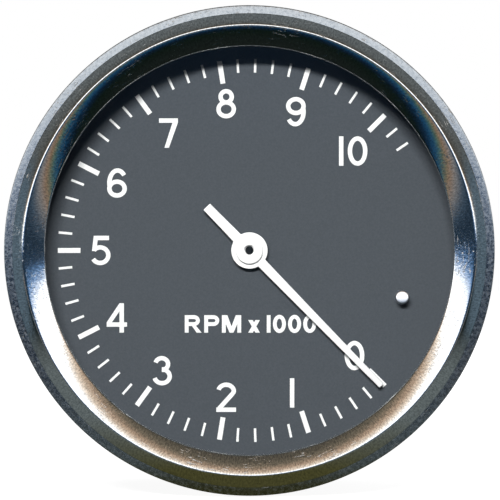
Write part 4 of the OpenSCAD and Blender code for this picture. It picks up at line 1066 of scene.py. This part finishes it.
# A straight knurl: rounded ridges set side by side round a bar; the seed is the turned nut
knurl, given = start_tree("knurl", {
    "Ridges": "Int", "Radius": "Float", "Ridge": "Float", "Length": "Float", "Centre": "Vector",
    "Middle": "Float", "Finish": "Material"})
nut_body = add(knurl, "GeometryNodeGroup", {"Geometry": given["Geometry"], "Sides": 96,
                                            "Finish": given["Finish"]}, node_tree=turning)
ridge = add(knurl, "GeometryNodeMeshCylinder",
            {"Vertices": 10, "Radius": given["Ridge"], "Depth": given["Length"]}, fill_type="NGON")
number = add(knurl, "GeometryNodeInputIndex")
share = add(knurl, "ShaderNodeMath", {0: 2 * pi, 1: given["Ridges"]}, operation="DIVIDE")
angle = add(knurl, "ShaderNodeMath", {0: number, 1: share}, operation="MULTIPLY")
points = set_round(knurl, given["Ridges"], given["Radius"], angle, given["Middle"])
placed = add(knurl, "GeometryNodeInstanceOnPoints", {"Points": points, "Instance": ridge})
both = add(knurl, "GeometryNodeJoinGeometry", {"Geometry": placed})
feed(knurl, both, {"Geometry": nut_body})
moved = add(knurl, "GeometryNodeTransform", {"Geometry": both, "Translation": given["Centre"]})
close_tree(knurl, moved, given["Finish"])

nut_r, bore_r = 6.0, 2.05
knurl_top = nut_top - 1.6
half = eased([(bore_r, nut_under, 0.2), (nut_r - 0.75, nut_under, 0),
              (nut_r - 0.28, nut_under + 0.45, 0), (nut_r - 0.28, knurl_top - 0.45, 0),
              (nut_r - 0.75, knurl_top, 0), (nut_r * 0.7 + 0.01, knurl_top, 0.25),
              (nut_r * 0.7, nut_top, 0.2), (bore_r, nut_top, 0.2)])
points, edges = as_seed(half)
for side, label in ((-1, "left"), (1, "right")):
    nut = grow("thumb_nut_knurled_" + label, knurl, points, edges,
               {"Ridges": 40, "Radius": nut_r - 0.3, "Ridge": 0.29,
                "Length": knurl_top - nut_under - 0.7, "Centre": (side * stud_x, 0.0, 0.0),
                "Middle": (knurl_top + nut_under) / 2, "Finish": dull_brass})
    seat(nut, "nut_" + label, "nut_brass", "thumb_nut_" + label)

# ---- Floor, lamps and surroundings ----
# A plain white floor lies just below the rim, with one soft lamp above and in front of the dial,
# another behind, and an even white room. What the plating mirrors is a studio round the camera: a
# long light, its warm housing higher up, grey blue side walls and a dark floor in front, with
# painted shade glowing on the floor just under the rim.
floor_mesh = bpy.data.meshes.new("floor")
reach = 3.0
level = cad_low.z - 0.0003
floor_mesh.from_pydata([(-reach, -reach, level), (reach, -reach, level), (reach, reach, level),
                        (-reach, reach, level)], [], [(0, 1, 2, 3)])
floor = bpy.data.objects.new("floor", floor_mesh)
scene.collection.objects.link(floor)
floor_paint = bpy.data.materials.new("white_floor")
floor_paint.use_nodes = True
tree = floor_paint.node_tree
tree.nodes.clear()
rays = add(tree, "ShaderNodeLightPath").outputs
plain = add(tree, "ShaderNodeBsdfDiffuse", {"Color": srgb("#404040")})
lit = add(tree, "ShaderNodeBsdfDiffuse", {"Color": (0.3, 0.3, 0.3, 1)})
# the glow grows to full white away from the object, so that the floor has no far edge
spot = add(tree, "ShaderNodeTexCoord").outputs["Object"]
off = add(tree, "ShaderNodeVectorMath", {0: spot}, operation="LENGTH")
level_glow = add(tree, "ShaderNodeMapRange",
                 {"Value": off, "From Min": 0.15, "From Max": 0.5, "To Min": 0.94, "To Max": 1.0})
glow = add(tree, "ShaderNodeEmission", {"Color": (1, 1, 1, 1), "Strength": level_glow})
pale = add(tree, "ShaderNodeAddShader", {0: lit, 1: glow})
through = add(tree, "ShaderNodeBsdfTransparent")
# painted shade: for glossy rays only, the floor near the object glows dark olive, then grey further
# out, and is clear beyond, standing in for the shade under the rim that the plating mirrors
away = add(tree, "ShaderNodeMapRange",
           {"Value": rays["Ray Length"], "From Min": 0.005, "From Max": 0.020})
painted_shade_tint = add(tree, "ShaderNodeMix", {0: away, 6: srgb("#4e4c2d"), 7: srgb("#6c7474")},
                 data_type="RGBA")
painted_shade_glow = add(tree, "ShaderNodeEmission", {"Color": painted_shade_tint, "Strength": 1.0})
near = add(tree, "ShaderNodeMapRange", {"Value": rays["Ray Length"], "From Min": 0.045,
                                        "From Max": 0.085, "To Min": 1.0, "To Max": 0.0})
painted_shade_under_rim = add(tree, "ShaderNodeMixShader", {0: near, 1: through, 2: painted_shade_glow})
seen = add(tree, "ShaderNodeMath", {0: rays["Is Camera Ray"], 1: rays["Is Transmission Ray"]},
           operation="MAXIMUM")
shown = add(tree, "ShaderNodeMixShader", {0: seen, 1: plain, 2: pale})
mirrored = add(tree, "ShaderNodeMixShader", {0: rays["Is Glossy Ray"], 1: shown, 2: painted_shade_under_rim})
add(tree, "ShaderNodeOutputMaterial", {"Surface": mirrored})
floor_mesh.materials.append(floor_paint)

for name, width, depth, watts, stand in (("key_lamp", 0.36, 0.07, 12.8, (-0.1, -0.92, 0.35)),
                                         ("back_lamp", 0.8, 0.8, 6.0, (0.25, 0.8, 0.6))):
    light = bpy.data.lights.new(name, "AREA")
    light.shape, light.size, light.size_y, light.energy = "RECTANGLE", width, depth, watts
    lamp = bpy.data.objects.new(name, light)
    scene.collection.objects.link(lamp)
    lamp.location = stand
    lamp.rotation_euler = (-Vector(stand)).to_track_quat("-Z", "Y").to_euler()
    lamp.visible_glossy = False
    lamp.visible_camera = False

room = bpy.data.worlds.new("studio")
scene.world = room
room.use_nodes = True
tree = room.node_tree
tree.nodes.clear()
way = add(tree, "ShaderNodeTexCoord").outputs["Generated"]
apart = add(tree, "ShaderNodeSeparateXYZ", {"Vector": way}).outputs
front = add(tree, "ShaderNodeMath", {0: apart["Y"], 1: -1.0}, operation="MULTIPLY")
# the long lamp hangs a little out of level
level_up = add(tree, "ShaderNodeMath", {0: apart["X"], 1: -0.03, 2: apart["Z"]},
               operation="MULTIPLY_ADD")
raised = add(tree, "ShaderNodeMath", {0: level_up, 1: front}, operation="ARCTAN2")
share = add(tree, "ShaderNodeMath", {0: raised, 1: 0.5 / pi, 2: 0.5}, operation="MULTIPLY_ADD")
# what stands at each angle above (or below) the camera, in degrees, the same all along the room
tube = (1.6, 1.6, 1.6, 1.0)
around_room = [
    (-180, "#ffffff"), (-160, "#e0e3e6"), (-130, "#6b7074"), (-100, "#26302f"), (-75, "#1c1f1b"),
    (-52, "#161c1a"), (-42, "#0e1812"), (-37, "#0c1a2c"), (-31, "#1a4668"), (-27, "#3f6455"),
    (-23, "#8a6a50"), (-18, "#7f7c7a"), (-12, "#3a4c5c"), (-6, "#22303e"), (2, "#22303e"),
    (7, "#5b90c8"), (13, tube), (29, tube), (36, "#f0dcc6"), (42, "#b49880"), (49, "#6e6556"),
    (56, "#524c42"), (64, "#4d4b45"), (76, "#545552"), (88, "#646a6c"), (100, "#a8acb0"),
    (115, "#dfe2e4"), (140, "#ffffff"), (180, "#ffffff")]
stops = [(0.5 + angle / 360, srgb(code) if isinstance(code, str) else code)
         for angle, code in around_room]
studio = add(tree, "ShaderNodeValToRGB", {"Fac": share}, stops=stops)
# grey blue side walls close the room beside the object and a little behind it
sideways = add(tree, "ShaderNodeMath", {0: apart["X"]}, operation="ABSOLUTE")
beside = add(tree, "ShaderNodeMath", {0: front, 1: -0.25, 2: sideways}, operation="MULTIPLY_ADD")
wall = add(tree, "ShaderNodeMapRange", {"Value": beside, "From Min": 0.87, "From Max": 0.94},
           interpolation_type="SMOOTHSTEP")
walled = add(tree, "ShaderNodeMix", {0: wall, 6: studio, 7: srgb("#54646f")}, data_type="RGBA")
rays = add(tree, "ShaderNodeLightPath").outputs
even = add(tree, "ShaderNodeBackground", {"Color": (1, 1, 1, 1), "Strength": 0.06})
white = add(tree, "ShaderNodeBackground", {"Color": (1, 1, 1, 1), "Strength": 1.0})
mirror = add(tree, "ShaderNodeBackground", {"Color": walled, "Strength": 1.25})
seen = add(tree, "ShaderNodeMath", {0: rays["Is Camera Ray"], 1: rays["Is Transmission Ray"]},
           operation="MAXIMUM")
first = add(tree, "ShaderNodeMath", {0: rays["Diffuse Depth"], 1: 0.5}, operation="LESS_THAN")
gloss = add(tree, "ShaderNodeMath", {0: rays["Is Glossy Ray"], 1: first}, operation="MULTIPLY")
one = add(tree, "ShaderNodeMixShader", {0: gloss, 1: even, 2: mirror})
two = add(tree, "ShaderNodeMixShader", {0: seen, 1: one, 2: white})
add(tree, "ShaderNodeOutputWorld", {"Surface": two})

bpy.context.view_layer.update()
